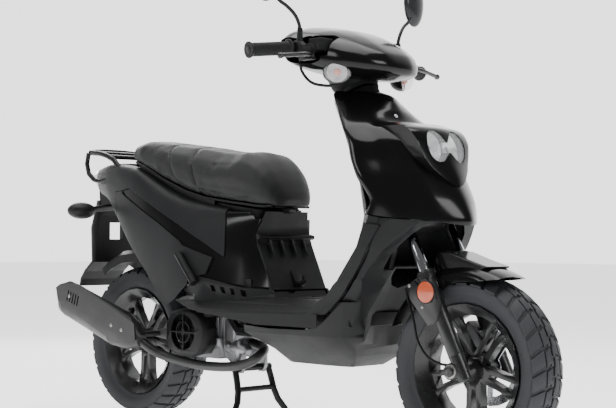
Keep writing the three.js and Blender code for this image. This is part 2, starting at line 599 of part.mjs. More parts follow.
// Floorboard: arched panel with a turned-down lip, carried up the sides of the leg shield.
const floorSectionShares = [[0, 0.4], [0.65, 0.4], [0.9, 0.384], [1.03, 0.37]];
const floorEdge = { share: 1.06, top: 0.366, foot: 0.33 };
const floorSection = (drop) => floorSectionShares.map(([y, z]) => [across(y), up(z) - drop]);
function floorboard() {
  const [x0, x1] = floorShares.map(along);
  const edge = across(floorEdge.share);
  const lip = [[edge, up(floorEdge.top)], [edge, up(floorEdge.foot)], [edge - wall, up(floorEdge.foot)]];
  const right = [...floorSection(0), ...lip, ...floorSection(wall).reverse()];
  const section = join(frontPlate(right, x0, x1), frontPlate(right.map(([y, z]) => [-y, z]), x0, x1));
  const ribs = Array.from({ length: matRibCount * 2 + 1 }, (_, i) => box(
    [matRib.length, matRib.width, matRib.height],
    [along(matRib.centreShare), (i - matRibCount) * matRib.pitch, up(matRib.heightShare)]));
  const lipBand = cut(shieldSolid(-floorLip), shieldSolid(-seam)).intersect(sideCutter(lipShares));
  const vents = Array.from({ length: ventCount }, (_, i) => plate(sidePoints(ventSlotShares)
    .map(([x, z]) => [x + i * ventPitch, z - i * ventFall]), ...spanY));
  const base = cut(coverShell.intersect(sideCutter(ventShares)), ...vents).intersect(bodyCutter);
  const trimmed = section.intersect(sideCutter(floorLimitShares));
  const [hx, , hz] = at(floorHoleShare);
  const floorHole = box([along(floorHoleSize[0]), across(floorHoleSize[1]), overrun * 2], [hx, 0, hz]);
  return join(cut(join(trimmed, ...ribs), shieldSolid(-seam), floorHole), lipBand, base);
}
const floorHoleShare = [-0.17, 0, 0.39];
const floorHoleSize = [0.3, 1.4];
const ventCount = 4;
const floorShares = [-0.21, 0.2];
const matRibCount = 1;
const matRib = { length: 118, width: 12, height: 5, pitch: 90, centreShare: 0.092, heightShare: 0.4 };
const floorLip = 7;
const lipShares = [[0.17, 0.372], [0.182, 0.371], [0.2013, 0.396], [0.2253, 0.418], [0.2493, 0.455],
  [0.2727, 0.501], [0.2887, 0.542], [0.294, 0.606], [0.3287, 0.598], [0.306, 0.535], [0.2787, 0.466],
    [0.244, 0.406], [0.208, 0.358], [0.184, 0.335], [0.17, 0.331]];
const floorLimitShares = [[-0.2073, 0.384], [-0.2, 0.42], [0.2, 0.42], [0.2, 0.32], [0.154, 0.327],
  [0.0613, 0.327], [-0.0247, 0.341], [-0.11, 0.355]];
const ventSlotShares = [[-0.1067, 0.432], [-0.0973, 0.43], [-0.0933, 0.412], [-0.1027, 0.414]];
const ventPitch = 34;
const ventFall = 4;

// Seat: crowned cushion over a pressed pan. Rows: place along, bottom, top and half width.
const seatShares = [
  [-0.4267, 0.806, 0.826, 0.25], [-0.4187, 0.804, 0.85, 0.475], [-0.4, 0.8, 0.865, 0.61],
  [-0.36, 0.785, 0.869, 0.68], [-0.2933, 0.74, 0.854, 0.7], [-0.2267, 0.703, 0.842, 0.69],
  [-0.1733, 0.682, 0.83, 0.66], [-0.1267, 0.672, 0.818, 0.63], [-0.0929, 0.665, 0.819, 0.61],
  [-0.0676, 0.661, 0.816, 0.59], [-0.045, 0.656, 0.799, 0.56], [-0.0253, 0.653, 0.772, 0.52],
  [-0.0084, 0.653, 0.736, 0.45], [0.0029, 0.655, 0.703, 0.35], [0.0085, 0.659, 0.68, 0.2],
];
const seatRingCount = 16;
const seatDrawShare = 0.94;
function seatLoop([x, bottom, top, half]) {
  const tall = top - bottom;
  const points = [
    [0, bottom], [half * 0.9, bottom], [half, bottom + tall * 0.3],
      [half * seatDrawShare, bottom + tall * 0.68],
    [half * 0.7, bottom + tall * 0.93],
  ].map(([y, z]) => new THREE.Vector3(along(x), -across(y), up(z)));
  const mirrored = points.slice(1).reverse().map((p) => new THREE.Vector3(p.x, -p.y, p.z));
  return [...points, new THREE.Vector3(along(x), 0, up(top)), ...mirrored];
}
const seatSolid = (inset) =>
  skin(insetRings(smoothRings(seatShares.map(seatLoop), seatRingCount, 12), inset, rearward));

// Sewn channels: shallow grooves across the top and sides of the cushion
const channel = { half: 2.5, deep: 3 };
const channelShares = [[[-0.2993, 0.88], [-0.2453, 0.72]], [[-0.2287, 0.87], [-0.1827, 0.69]]];
const channels = () => channelShares.map((ends) => {
  const [[x0, z0], [x1, z1]] = sidePoints(ends);
  const slice = plate([[x0 - channel.half, z0], [x0 + channel.half, z0], [x1 + channel.half, z1],
    [x1 - channel.half, z1]], ...spanY);
  return cut(slice, seatSolid(channel.deep));
});
const panSolid = (margin) => {
  const rows = seatShares.slice(2, -2).map(([x, bottom, , half]) => {
    const w = across(half) * panShare + margin;
    const z = up(bottom) - overrun * (margin > 0 ? 1 : 0);
    const top = up(bottom) + panTall + margin;
    return [[0, z], [-w, z], [-w, top], [0, top], [w, top],
      [w, z]].map(([y, h]) => new THREE.Vector3(along(x), y, h));
  });
  const rings = rows.map((row, i) => row.map((p) => new THREE.Vector3(
    p.x + (i === 0 ? -margin : 0) + (i === rows.length - 1 ? margin : 0), p.y, p.z)));
  return skin(rings);
};
const panShare = 0.86;
const panTall = 6;

// Seat pan with its hinge knuckles
const seatHinge = { place: [-0.0017, 0, 0.648], pin: 4, knuckle: 8, half: 14 };
const knuckleShares = [[-0.0317, 0.656], [-0.0317, 0.646], [-0.0063, 0.64], [-0.001, 0.64],
  [0.003, 0.647], [0.0003, 0.6503], [-0.0157, 0.6504], [-0.0183, 0.656]];
const [hingeX, , hingeZ] = at(seatHinge.place);
function hingeArm(margin) {
  const w = seatHinge.half - seatGap + margin;
  const points = sidePoints(hingeArmShares);
  const arm = plate(points, -w, w);
  return margin > 0 ? join(arm, crossBar(hingeX, hingeZ, seatHinge.knuckle + margin, -w, w)) : arm;
}
const hingeArmShares = [[-0.0663, 0.648], [-0.0663, 0.64], [-0.025, 0.634], [-0.0037, 0.64], [0.0003,
  0.646],
  [-0.0023, 0.649], [-0.0277, 0.6455]];

// Tubes and brackets of the frame
const headTube = { radius: 26, bore: 16.3, from: 430, to: 600 };
const frameTube = 13;
function mainFrame() {
  const head = bar(onAxis(headTube.from).toArray(), onAxis(headTube.to).toArray(), headTube.radius,
    headTube.radius, 16);
  const bore = bar(onAxis(headTube.from - overrun).toArray(), onAxis(headTube.to + overrun).toArray(),
    headTube.bore,
    headTube.bore, 16);
  const down = tube(route(downShares), frameTube + wall, 5, 6);
  const floorRail = tube(route(floorRailShares), frameTube, 11, 5);
  const rail = tube(route(railShares), frameTube - seam, 2, 5);
  const cross = crossFrameShares.map((share) => {
    const [x, y, z] = at(share);
    return crossBar(x, z, frameTube - seam, -y, y, 8);
  });
  const bracket = plate(sidePoints(pivotPlateShares), pivot.plate0, pivot.plate1);
  const pin = crossBar(along(pivot.place[0]), up(pivot.place[1]), pivot.pin, -pivot.plate1, pivot.plate1,
    9);
  const shockPlate = plate(sidePoints(shockPlateShares), shock.y - shock.halfEye - wall * 2,
    shock.y - shock.halfEye - seatGap);
  const [sx, sz] = [along(shockShares.top[0]), up(shockShares.top[1])];
  const shockPin = crossBar(sx, sz, shock.pin, shock.y - shock.halfEye - wall * 2,
    shock.y + shock.halfEye + wall, 10);
  return cut(join(head, down, bothSides(join(floorRail, rail, bracket)), ...cross, pin, shockPlate,
    shockPin), bore);
}
const downShares = [[0.2693, 0, 0.69], [0.2573, 0, 0.6], [0.2413, 0, 0.5], [0.2233, 0, 0.42],
  [0.1987, 0, 0.345], [0.1747, 0, 0.292]];
const floorRailShares = [[0.1747, 0, 0.292], [0.1667, 0.3, 0.29], [0.15, 0.45, 0.288],
  [0.0667, 0.45, 0.286], [-0.04, 0.45, 0.288], [-0.08, 0.48, 0.296], [-0.11, 0.56, 0.345],
    [-0.15, 0.59, 0.48], [-0.1933, 0.59, 0.59], [-0.28, 0.59, 0.672], [-0.3733, 0.57, 0.742],
      [-0.4267, 0.49, 0.752], [-0.4767, 0.42, 0.758]];
const railShares = [[-0.08, 0.48, 0.296], [-0.0933, 0.4, 0.3], [-0.1, 0.33, 0.3]];
const crossFrameShares = [[0.0667, 0.45, 0.286], [-0.112, 0.56, 0.352], [-0.4747, 0.42, 0.758],
  [-0.408, 0.52, 0.762]];
const pivot = { place: [-0.1, 0.3], pin: 10, plate0: 58, plate1: 66, halfLug: 50 };
const pivotPlateShares = [[-0.1133, 0.282], [-0.0867, 0.282], [-0.0827, 0.3], [-0.0867, 0.32],
  [-0.1133, 0.32], [-0.1173, 0.3]];
const shock = { y: 104, pin: 7, halfEye: 14, eye: 16, rod: 8, body: 17.5, wire: 4.2, coil: 23, cup: 4 };
const shockShares = { top: [-0.4, 0.63], low: [-0.4833, 0.3] };
const shockPlateShares = [[-0.412, 0.616], [-0.388, 0.616], [-0.38, 0.742], [-0.4, 0.752],
  [-0.4267, 0.752]];

// Helmet box and fuel tank under the seat
function helmetBox() {
  const rings = (inset, topShift) => boxShares.map(([x, low, high, half]) => {
    const w = across(half) - inset;
    const [z0, z1] = [up(low) + inset, up(high) + topShift];
    const bevel = wall * 4;
    return [[-w + bevel, z0], [-w, z0 + bevel], [-w, z1], [w, z1], [w, z0 + bevel], [w - bevel, z0]]
      .map(([y, z]) => new THREE.Vector3(along(x), y, z)).reverse();
  });
  const outer = skin(rings(0, 0));
  const inner = skin(shiftedEnds(rings(boxWall, overrun), boxWall, -boxWall, new THREE.Vector3(1, 0, 0)));
  return join(cut(outer, inner), cut(hingeArm(0), crossBar(hingeX, hingeZ, seatHinge.pin + seatGap,
    -overrun, overrun)));
}
const boxWall = 3;
const boxShares = [
  [-0.2867, 0.56, 0.727, 0.5], [-0.2, 0.52, 0.684, 0.51], [-0.1, 0.5, 0.66, 0.5], [-0.04, 0.5, 0.648, 0.45],
];

function fuelTank() {
  const tank = skin(tankShares.map(([x, low, high, half]) => {
    const w = across(half);
    const bevel = wall * 4;
    return [[-w + bevel, up(low)], [-w, up(low) + bevel], [-w, up(high) - bevel], [-w + bevel, up(high)],
      [w - bevel, up(high)], [w, up(high) - bevel], [w, up(low) + bevel], [w - bevel, up(low)]]
      .map(([y, z]) => new THREE.Vector3(along(x), y, z)).reverse();
  }));
  const [x, , z] = at(fillerShare);
  const neckTube = bar([x, 0, z - overrun], [x, 0, z + fillerTall], fillerRadius, fillerRadius, 9);
  const tabs = bothSides(box(tankTab, at(tankTabShare)));
  const rails = bothSides(tube(route(floorRailShares), frameTube + seatGap, 11, 5));
  return join(tank, neckTube, cut(tabs, rails));
}
const fillerShare = [-0.36, 0, 0.752];
const tankTab = [30, 40, 12];
const tankTabShare = [-0.364, 0.445, 0.729];
const fillerRadius = 24;
const fillerTall = 16;
const tankShares = [
  [-0.46, 0.7, 0.745, 0.3], [-0.42, 0.635, 0.75, 0.38], [-0.34, 0.635, 0.735, 0.38],
    [-0.3, 0.65, 0.715, 0.38],
];

// Wheels: tyre, cast rim with paired spokes, brake disc
const tyreProfileShares = [
  [0, -0.74], [0.4, -1], [0.7, -0.92], [0.92, -0.55], [1, 0],
  [0.92, 0.55], [0.7, 0.92], [0.4, 1], [0, 0.74], [0, -0.74],
];
const wheelSegments = 22;
function tyreSolid(centre) {
  const seat = rimRadius + seatGap;
  const depth = tyreRadius - seat;
  return turned(tyreProfileShares.map(([r, w]) => [seat + r * depth, w * tyreWidth / 2]), wheelSegments,
    centre);
}
const rimShares = [
  [1, -0.39], [1, -0.32], [0.88, -0.22], [0.88, 0.22], [1, 0.32], [1, 0.39],
  [0.83, 0.2], [0.83, -0.2], [1, -0.39],
];
const spokeCount = 5;
const spoke = { halfWidth: 13 };
const spokeShares = [[0.12, 0.13], [0.55, 0.14], [0.85, 0.2]];
const slotShares = [[0.3, 0.035], [0.6, 0.06], [0.77, 0.075]];
const hub = { radius: 32, bore: 8.5, half: 58, step: 53.7, nose: 20, waist: 40 };

function rimSolid(centre, bore) {
  const ring = turned(rimShares.map(([r, w]) => [rimRadius * r, tyreWidth * w]), wheelSegments);
  const barrel = turned([[bore, -hub.half], [hub.nose, -hub.half], [hub.nose, -hub.waist],
    [hub.radius, -hub.waist],
    [hub.radius, hub.step], [hub.nose, hub.step], [hub.nose, hub.half], [bore, hub.half],
      [bore, -hub.half]], 10);
  const outline = [...spokeShares.map(([u, v]) => [-v, -u]), ...spokeShares.map(([u, v]) => [v,
    -u]).reverse()];
  const slot = [...slotShares.map(([u, v]) => [-v, -u]), ...slotShares.map(([u, v]) => [v, -u]).reverse()];
  const scaled = (points) => points.map(([x, z]) => [x * rimRadius, z * rimRadius]);
  const arm = plate(scaled(outline), -spoke.halfWidth, spoke.halfWidth, [scaled(slot)]);
  const arms = Array.from({ length: spokeCount }, (_, i) => moved(arm, [0, 0, 0],
    [0, (i * 360) / spokeCount, 0]));
  const bored = crossBar(0, 0, bore, -hub.half * 2, hub.half * 2, 16);
  return moved(cut(join(ring, barrel, ...arms), bored), centre, [0, 0, 0]);
}

const disc = { outer: 98, inner: 74, centre: 30, from: 54, to: 58, armHalf: 8, arms: 5 };
function brakeDisc() {
  const ringOf = (r0, r1) => turned([[r0, disc.from], [r1, disc.from], [r1, disc.to], [r0, disc.to],
    [r0, disc.from]], 22);
  const turn = 360 / disc.arms;
  const armOf = (i) => moved(box([disc.armHalf * 2, disc.to - disc.from, disc.inner],
    [0, (disc.from + disc.to) / 2, (disc.inner + disc.centre) / 2 - seam]), middle, [0, (i + 0.5) * turn,
      0]);
  const arms = Array.from({ length: disc.arms }, (_, i) => armOf(i));
  const bore = hub.nose + seatGap;
  const solid = join(ringOf(disc.inner, disc.outer), ringOf(bore, disc.centre + wall), ...arms);
  return moved(cut(solid, crossBar(0, 0, bore, 0, disc.to * 2, 10)), frontAxle.toArray(), middle);
}

// Fork
const legPoint = (height, side) => onAxis(height).addScaledVector(axisAhead, legOffset)
  .add(new THREE.Vector3(0, side * legSpread, 0)).toArray();
const fork = {
  slider: 20, tube: 15, gap: 0.4, sliderFoot: -34, sliderTop: 262, sealFrom: 240, seal: 23, boreFrom: 52,
  tubeFoot: 120, axle: 8, lug: 22, lug0: 66, lug1: 106, nut: 14, nut1: 114, yokeFrom: 402, yokeTo: 424,
};

function forkSlider(side) {
  const leg = bar(legPoint(fork.sliderFoot, side), legPoint(fork.sliderTop, side), fork.slider,
    fork.slider, 9);
  const seal = bar(legPoint(fork.sealFrom, side), legPoint(fork.sliderTop, side), fork.seal, fork.seal, 9);
  const bore = bar(legPoint(fork.boreFrom, side), legPoint(fork.sliderTop + overrun, side),
    fork.tube + fork.gap,
    fork.tube + fork.gap, 9);
  const lug = crossBar(frontAxleX, tyreRadius, fork.lug, side * fork.lug0, side * fork.lug1, 9);
  return cut(join(leg, seal, lug), bore);
}
function forkSliderRight() {
  const axle = crossBar(frontAxleX, tyreRadius, fork.axle, -fork.nut1, fork.nut1, 16);
  const nuts = [-1, 1].map((side) =>
    crossBar(frontAxleX, tyreRadius, fork.nut, side * (fork.lug1 + seatGap), side * fork.nut1, 6));
  const bracket = plate(sidePoints(reflectorPlateShares), -legSpread - fork.slider - wall,
    -legSpread - fork.slider + wall);
  const [x, , z] = at([0.3907, 0, 0.43]);
  const reflector = crossBar(x, z, reflectorRadius, -legSpread - fork.slider - wall * 2,
    -legSpread - fork.slider, 10);
  return join(forkSlider(-1), axle, ...nuts, bracket, reflector);
}
const reflectorRadius = 29;
const reflectorPlateShares = [[0.346, 0.439], [0.362, 0.457], [0.4207, 0.404], [0.412, 0.359],
  [0.3947, 0.346], [0.3553, 0.409]];
const forkSliderLeft = () => cut(forkSlider(1), crossBar(frontAxleX, tyreRadius, fork.axle + fork.gap, 0,
  bodyWidth, 16));
const forkTube = (side) => bar(legPoint(fork.tubeFoot, side), legPoint(fork.yokeTo, side), fork.tube,
  fork.tube, 9);

function steeringStem() {
  const stem = bar(onAxis(fork.yokeFrom).toArray(), onAxis(stemTopHeight).toArray(), stemRadius,
    stemRadius, 9);
  const bridge = toSolid(new THREE.ExtrudeGeometry(new THREE.Shape(yokePoints().map((p) => new THREE.Vector2(...p))), {
    depth: fork.yokeTo - fork.yokeFrom, bevelEnabled: false,
  }).translate(0, 0, fork.yokeFrom).rotateY(-rake).translate(...axisFoot.toArray()));
  const holes = [-1, 1].map((side) => bar(legPoint(fork.yokeFrom - overrun, side),
    legPoint(fork.yokeTo + overrun, side),
    fork.tube + seatGap, fork.tube + seatGap, 9));
  const clamp = crossBar(barX, barZ, clampRadius, -clampHalf, clampHalf, 10);
  return cut(join(stem, bridge, clamp), ...holes, crossBar(barX, barZ, barRadius + seam, -overrun,
    overrun, 9));
}
const yoke = { back: 24, backHalf: 30, waist: 20, waistHalf: 74, middle: 44, lip: 18, nose: 22, side: 21,
  draw: 8, in: 6 };
const yokePoints = () => {
  const half = [
    [-yoke.back, yoke.backHalf], [yoke.waist, yoke.waistHalf], [legOffset - yoke.in, legSpread + yoke.side],
    [legOffset + yoke.lip, legSpread + yoke.lip], [legOffset + yoke.nose, legSpread - yoke.draw],
  ];
  return [...half, [yoke.middle, 0], ...half.toReversed().map(([a, b]) => [a, -b])];
};
const stemRadius = 15.5;
const clampRadius = 21;
const clampHalf = 24;
const barRadius = 11;
const barHeight = 905;
const [barX, , barZ] = onAxis(barHeight).toArray();

// Handlebar: straight grip ends swept back, rising middle
const gripInnerShare = [0.1367, 1.1, 1.07];
const gripOuterShare = [0.12, 1.725, 1.055];
const gripInner = (side) => { const p = at(gripInnerShare); return [p[0], side * p[1], p[2]]; };
const gripOuter = (side) => { const p = at(gripOuterShare); return [p[0], side * p[1], p[2]]; };
const onGrip = (side, share) => gripInner(side).map((v, i) => v + (gripOuter(side)[i] - v) * share);
const post = { ahead: 14, aside: 58, tall: 90, radius: 6 };
const riseRadius = barRadius - 0.6;
const cowlWall = 3.5;
function handlebar() {
  const end = (side) => bar(onGrip(side, -0.3), onGrip(side, 0.985), barRadius, barRadius, 12);
  const centre = crossBar(barX, barZ, barRadius, -clampHalf * 1.5, clampHalf * 1.5, 12);
  const rise = (side) => tube([
    [barX, side * clampHalf * 1.15, barZ], [barX, side * clampHalf * 1.6, barZ],
    ...riseShares.map((share) => sided(share, side)), onGrip(side, -0.27), onGrip(side, -0.05),
  ], riseRadius, 7, 7);
  const x = barX + post.ahead;
  const posts = bothSides(bar([x, post.aside, barZ], [x, post.aside, barZ + post.tall], post.radius,
    post.radius, 8))
    .intersect(cowlSolid(cowlWall + seatGap));
  return join(centre, end(1), end(-1), rise(1), rise(-1), posts);
}
const riseShares = [[0.1533, 0.45, 1.052], [0.1493, 0.7, 1.07]];

const gripSize = { radius: 18, collar: 24, collarLong: 5, shoulder: 8, end: 22, slack: 0.9 };
function grip(side) {
  const a = new THREE.Vector3(...onGrip(side, 0));
  const b = new THREE.Vector3(...onGrip(side, 1));
  const axis = b.clone().sub(a);
  const length = axis.length();
  const bore = barRadius + gripSize.slack;
  const profile = [
    [bore, 0], [gripSize.collar, 0], [gripSize.collar, gripSize.collarLong],
    [gripSize.radius, gripSize.shoulder], [gripSize.radius, length - gripSize.shoulder],
    [gripSize.end, length], [bore, length], [bore, 0],
  ];
  const turn = new THREE.Quaternion().setFromUnitVectors(new THREE.Vector3(0, 1, 0), axis.normalize());
  return toSolid(new THREE.LatheGeometry(profile.map((p) => new THREE.Vector2(...p)), 10)
    .applyQuaternion(turn).translate(...a.toArray()));
}

// Switch housings, with the lever perch, the mirror boss and the brake reservoir on the right
const housing = { inner: 184, wide: 28, half: 27, halfTall: 23, turn: 0.22, slack: 1.2 };
const housingShare = [0.1427, 0, 1.07];
const housingStationShares = [0.85, 1, 1, 0.85];
const perch = { size: [44, 22, 36], share: [0.1647, 0.97, 1.055] };
const boss = { shares: [[0.148, 0.99, 1.08], [0.148, 0.99, 1.112]], foot: 9, head: 8 };
const reservoir = {
  size: [44, 50, 30], share: [0.1747, 0.79, 1.078], neckSize: [30, 20, 20], neckShare: [0.164, 0.9, 1.072],
};
const clampBlock = { size: [20, 16, 16], share: [0.1573, 0.95, 1.07] };
const leverSize = { pin: 4, hole: 4.5, eye: 9, arm: 6, ball: 9, slot: [40, 46, 13.8] };
const leverPinShares = [[0.1733, 0.96, 1.038], [0.1733, 0.96, 1.07]];
const leverEyeShares = [[0.1733, 0.96, 1.0434], [0.1733, 0.96, 1.0546]];
const leverSlotShare = [0.18, 0.985, 1.049];
const pushButton = {
  radius: 5, hole: 5.3, shares: [[0.1247, 1.015, 1.055], [0.1367, 1.015, 1.055]],
  holeShares: [[0.12, 1.015, 1.055], [0.1387, 1.015, 1.055]],
};
function switchHousing(side) {
  const [cx, , cz] = at(housingShare);
  const shell = skin(housingStationShares.map((size, i, all) => {
    const y = side * (housing.inner + housing.wide * (i / (all.length - 1)));
    return circlePoints(0, 0, 1, 10, housing.turn).map(([a, b]) =>
      new THREE.Vector3(cx + a * housing.half * size, y, cz + b * housing.halfTall * size));
  }));
  const ends = (shares) => shares.map((share) => sided(share, side));
  const mirrorBoss = bar(...ends(boss.shares), boss.foot, boss.head, 10);
  const extra = side < 0
    ? join(box(reservoir.size, sided(reservoir.share, side)), box(reservoir.neckSize,
      sided(reservoir.neckShare, side)))
    : box(clampBlock.size, sided(clampBlock.share, side));
  const barHole = bar(onGrip(side, -0.4), onGrip(side, 0.4), barRadius + housing.slack,
    barRadius + housing.slack, 9);
  const leverPin = bar(...ends(leverPinShares), leverSize.pin, leverSize.pin, 9);
  const slot = box(leverSize.slot, sided(leverSlotShare, side));
  const buttonHole = bar(...ends(pushButton.holeShares), pushButton.hole, pushButton.hole, 9);
  const base = join(shell, box(perch.size, sided(perch.share, side)), mirrorBoss, extra);
  return join(cut(base, barHole, slot, buttonHole), leverPin);
}

function brakeLever(side) {
  const blade = leverShares.map((share) => sided(share, side));
  const arm = tube(blade, leverSize.arm, 6, 6);
  const ball = toSolid(new THREE.SphereGeometry(leverSize.ball, 6, 4).translate(...blade.at(-1)));
  const eyeEnds = leverEyeShares.map((share) => sided(share, side));
  const holeEnds = leverPinShares.map((share) => sided(share, side));
  const eyeBody = bar(...eyeEnds, leverSize.eye, leverSize.eye, 10);
  return cut(join(arm, ball, eyeBody), bar(...holeEnds, leverSize.hole, leverSize.hole, 9));
}
const leverShares = [[0.1733, 0.99, 1.049], [0.184, 1.06, 1.048], [0.1867, 1.2, 1.045],
  [0.1827, 1.4, 1.04], [0.18, 1.575, 1.035]];

const mirrorShares = [[0.148, 0.99, 1.113], [0.148, 0.995, 1.128], [0.1467, 1.06, 1.158],
  [0.1413, 1.18, 1.18], [0.136, 1.34, 1.2], [0.13, 1.45, 1.235]];
const mirrorSize = { stem: 5, nut: 8, nutFrom: 1.1125, nutTo: 1.125, deep: 16, half: 47, tall: 70, toe: 7 };
const mirrorHead = [0.1293, 1.5, 1.257];
function mirror(side) {
  const [deep, half, tall] = [mirrorSize.deep, mirrorSize.half, mirrorSize.tall];
  const [footX, footY] = mirrorShares[0];
  const [x, y, z] = at(mirrorHead);
  const stem = tube(mirrorShares.map((share) => sided(share, side)), mirrorSize.stem, 6, 6);
  const nut = bar(sided([footX, footY, mirrorSize.nutFrom], side), sided([footX, footY,
    mirrorSize.nutTo], side),
    mirrorSize.nut, mirrorSize.nut, 6);
  const toe = THREE.MathUtils.degToRad(mirrorSize.toe) * side;
  const head = toSolid(new THREE.SphereGeometry(1, 10, 6).scale(deep, half, tall).rotateZ(toe)
    .translate(x, side * y, z));
  const face = box([deep, half * 3, tall * 3], [x - deep, side * y, z], [0, 0, mirrorSize.toe * side]);
  return join(stem, nut, cut(head, face));
}

function button(side) {
  const ends = pushButton.shares.map((share) => sided(share, side));
  return bar(...ends, pushButton.radius, pushButton.radius, 9);
}

// Handlebar cowl: a shell over the middle of the bar, open below and at both ends
const cowlProfileShares = [[0.074, 1.136], [0.0933, 1.149], [0.1207, 1.148], [0.1713, 1.132],
  [0.208, 1.11], [0.2393, 1.083], [0.2613, 1.056], [0.2707, 1.027], [0.2653, 1.002], [0.2327, 0.99],
    [0.2, 0.992], [0.1587, 1], [0.11, 1.02], [0.08, 1.08]];
const cowlStationShares = [[-0.86, 0.5, -0.03], [-0.74, 0.72, -0.016], [-0.5, 0.9, -0.006],
  [-0.25, 0.98, 0], [0, 1, 0],
  [0.25, 0.98, 0], [0.5, 0.9, -0.006], [0.74, 0.72, -0.016], [0.86, 0.5, -0.03]];
function cowlSolid(inset, endShift = 0) {
  const [cx, cz] = [along(0.15), up(1.07)];
  const rings = smoothRings(cowlStationShares.map(([y, size, back]) => cowlProfileShares.map(([x, z]) =>
    new THREE.Vector3(cx + (along(x) - cx) * size + along(back), across(y), cz + (up(z) - cz) * size))),
      7, 14);
  const normal = new THREE.Vector3(0, 1, 0);
  return skin(shiftedEnds(insetRings(rings, inset, normal), -endShift, endShift, normal));
}
const skirt = { foot: 850, top: 880, holeTop: 895, radius: 50, topRadius: 55, foothold: 44 };
const barSlot = 30;
function handlebarCowl() {
  const shell = cut(cowlSolid(0), cowlSolid(cowlWall, overrun));
  const ring = (from, to, radius, endRadius) =>
    bar(onAxis(from).toArray(), onAxis(to).toArray(), radius, endRadius, 11);
  const stemHole = ring(skirt.foot - overrun, skirt.holeTop, skirt.foothold, skirt.foothold);
  const collar = cut(ring(skirt.foot, skirt.top, skirt.radius, skirt.topRadius),
    ring(skirt.foot - seam, skirt.top + seam, skirt.radius - wall, skirt.topRadius - wall));
  const signals = [-1, 1].map((side) => signalPod(side, seatGap));
  const barHoles = [-1, 1].map((side) => bar(onGrip(side, -0.9), onGrip(side, 0), barSlot, barSlot, 9));
  const reservoirRoom = box(reservoir.size.map((v, i) => v + reservoirSlack[i]), sided(reservoir.share,
    -1));
  return cut(join(cut(shell, stemHole), collar), ...signals, ...barHoles, reservoirRoom);
}
const reservoirSlack = [16, 30, 30];

const signalSize = { deep: 40, half: 34, halfTall: 30, turn: 0.3 };
const signalShare = [0.1973, 0.66, 1.006];
function signalPod(side, margin) {
  const scale = [signalSize.deep, signalSize.half, signalSize.halfTall].map((v) => v + margin);
  return toSolid(new THREE.SphereGeometry(1, 10, 6).scale(...scale).rotateZ(-side * signalSize.turn)
    .translate(...sided(signalShare, side)));
}

// Front mudguard
const guard = { wall: 3, crownHalf: 50 };
const guardCrownShares = [[0.3693, 0.46], [0.372, 0.505], [0.3793, 0.527], [0.39, 0.534],
  [0.4107, 0.53], [0.4467, 0.512], [0.4887, 0.494], [0.47, 0.482], [0.41, 0.482]];
const guardRoomShares = [[0.35, 0.44], [0.3747, 0.504], [0.3813, 0.523], [0.39, 0.5305],
  [0.4107, 0.5265], [0.4467, 0.509], [0.465, 0.502], [0.44, 0.485], [0.41, 0.45]];
const guardProfile = (inset) => guardShares.map(([r, w]) => [guardRadius * r - inset,
  (guardHalfWidth - inset) * w]);
const guardShares = [[0.78, -1], [0.88, -1], [0.95, -0.86], [0.99, -0.5], [1, 0], [0.99, 0.5],
  [0.95, 0.86], [0.88, 1], [0.78, 1]];
function archShell(shareProfile, innerProfile, centre) {
  return turned([...shareProfile, ...innerProfile.reverse(), shareProfile[0]], 26, centre);
}
function frontMudguard() {
  const outer = guardProfile(0);
  const inner = guardShares.map(([r, w], i) => [
    guardRadius * r - (i === 0 || i === guardShares.length - 1 ? 0 : guard.wall),
      (guardHalfWidth - guard.wall) * w]);
  const arch = archShell(outer, inner, frontAxle.toArray()).intersect(plate(sidePoints(guardCutShares),
    ...spanY));
  const legs = [-1, 1].map((side) => bar(legPoint(fork.sliderFoot, side),
    legPoint(fork.sliderTop + overrun, side),
    fork.seal + seatGap, fork.seal + seatGap, 9));
  const crown = plate(sidePoints(guardCrownShares), -guard.crownHalf, guard.crownHalf);
  const room = plate(sidePoints(guardRoomShares), guard.wall - guard.crownHalf,
    guard.crownHalf - guard.wall);
  return cut(join(arch, crown), room, ...legs);
}
const guardCutShares = [[0.524, 0.474], [0.5133, 0.464], [0.478, 0.459], [0.436, 0.456],
  [0.4147, 0.446], [0.38, 0.405], [0.3333, 0.35], [0.2907, 0.336], [0.2533, 0.34], [0.2533, 0.56],
    [0.524, 0.56]];

const caliper = { share: [0.398, 0, 0.307], size: [70, 46, 58], aside: 69, tilt: 48, slack: 2,
  rimSlack: 3 };
function brakeCaliper() {
  const [x, , z] = at(caliper.share);
  const block = box(caliper.size, [x, caliper.aside, z], [0, caliper.tilt, 0]);
  const [from, to, outer] = [disc.from - caliper.slack, disc.to + caliper.slack,
    disc.outer + caliper.rimSlack];
  const discRoom = moved(turned([[0, from], [outer, from], [outer, to], [0, to]], 32),
    frontAxle.toArray(), middle);
  const leg = bar(legPoint(fork.sliderFoot, 1), legPoint(fork.sliderTop, 1),
    fork.slider + seatGap, fork.slider + seatGap, 9);
  const lugHole = crossBar(frontAxleX, tyreRadius, fork.lug + seam, 0, bodyWidth, 9);
  return cut(block, discRoom, leg, lugHole);
}

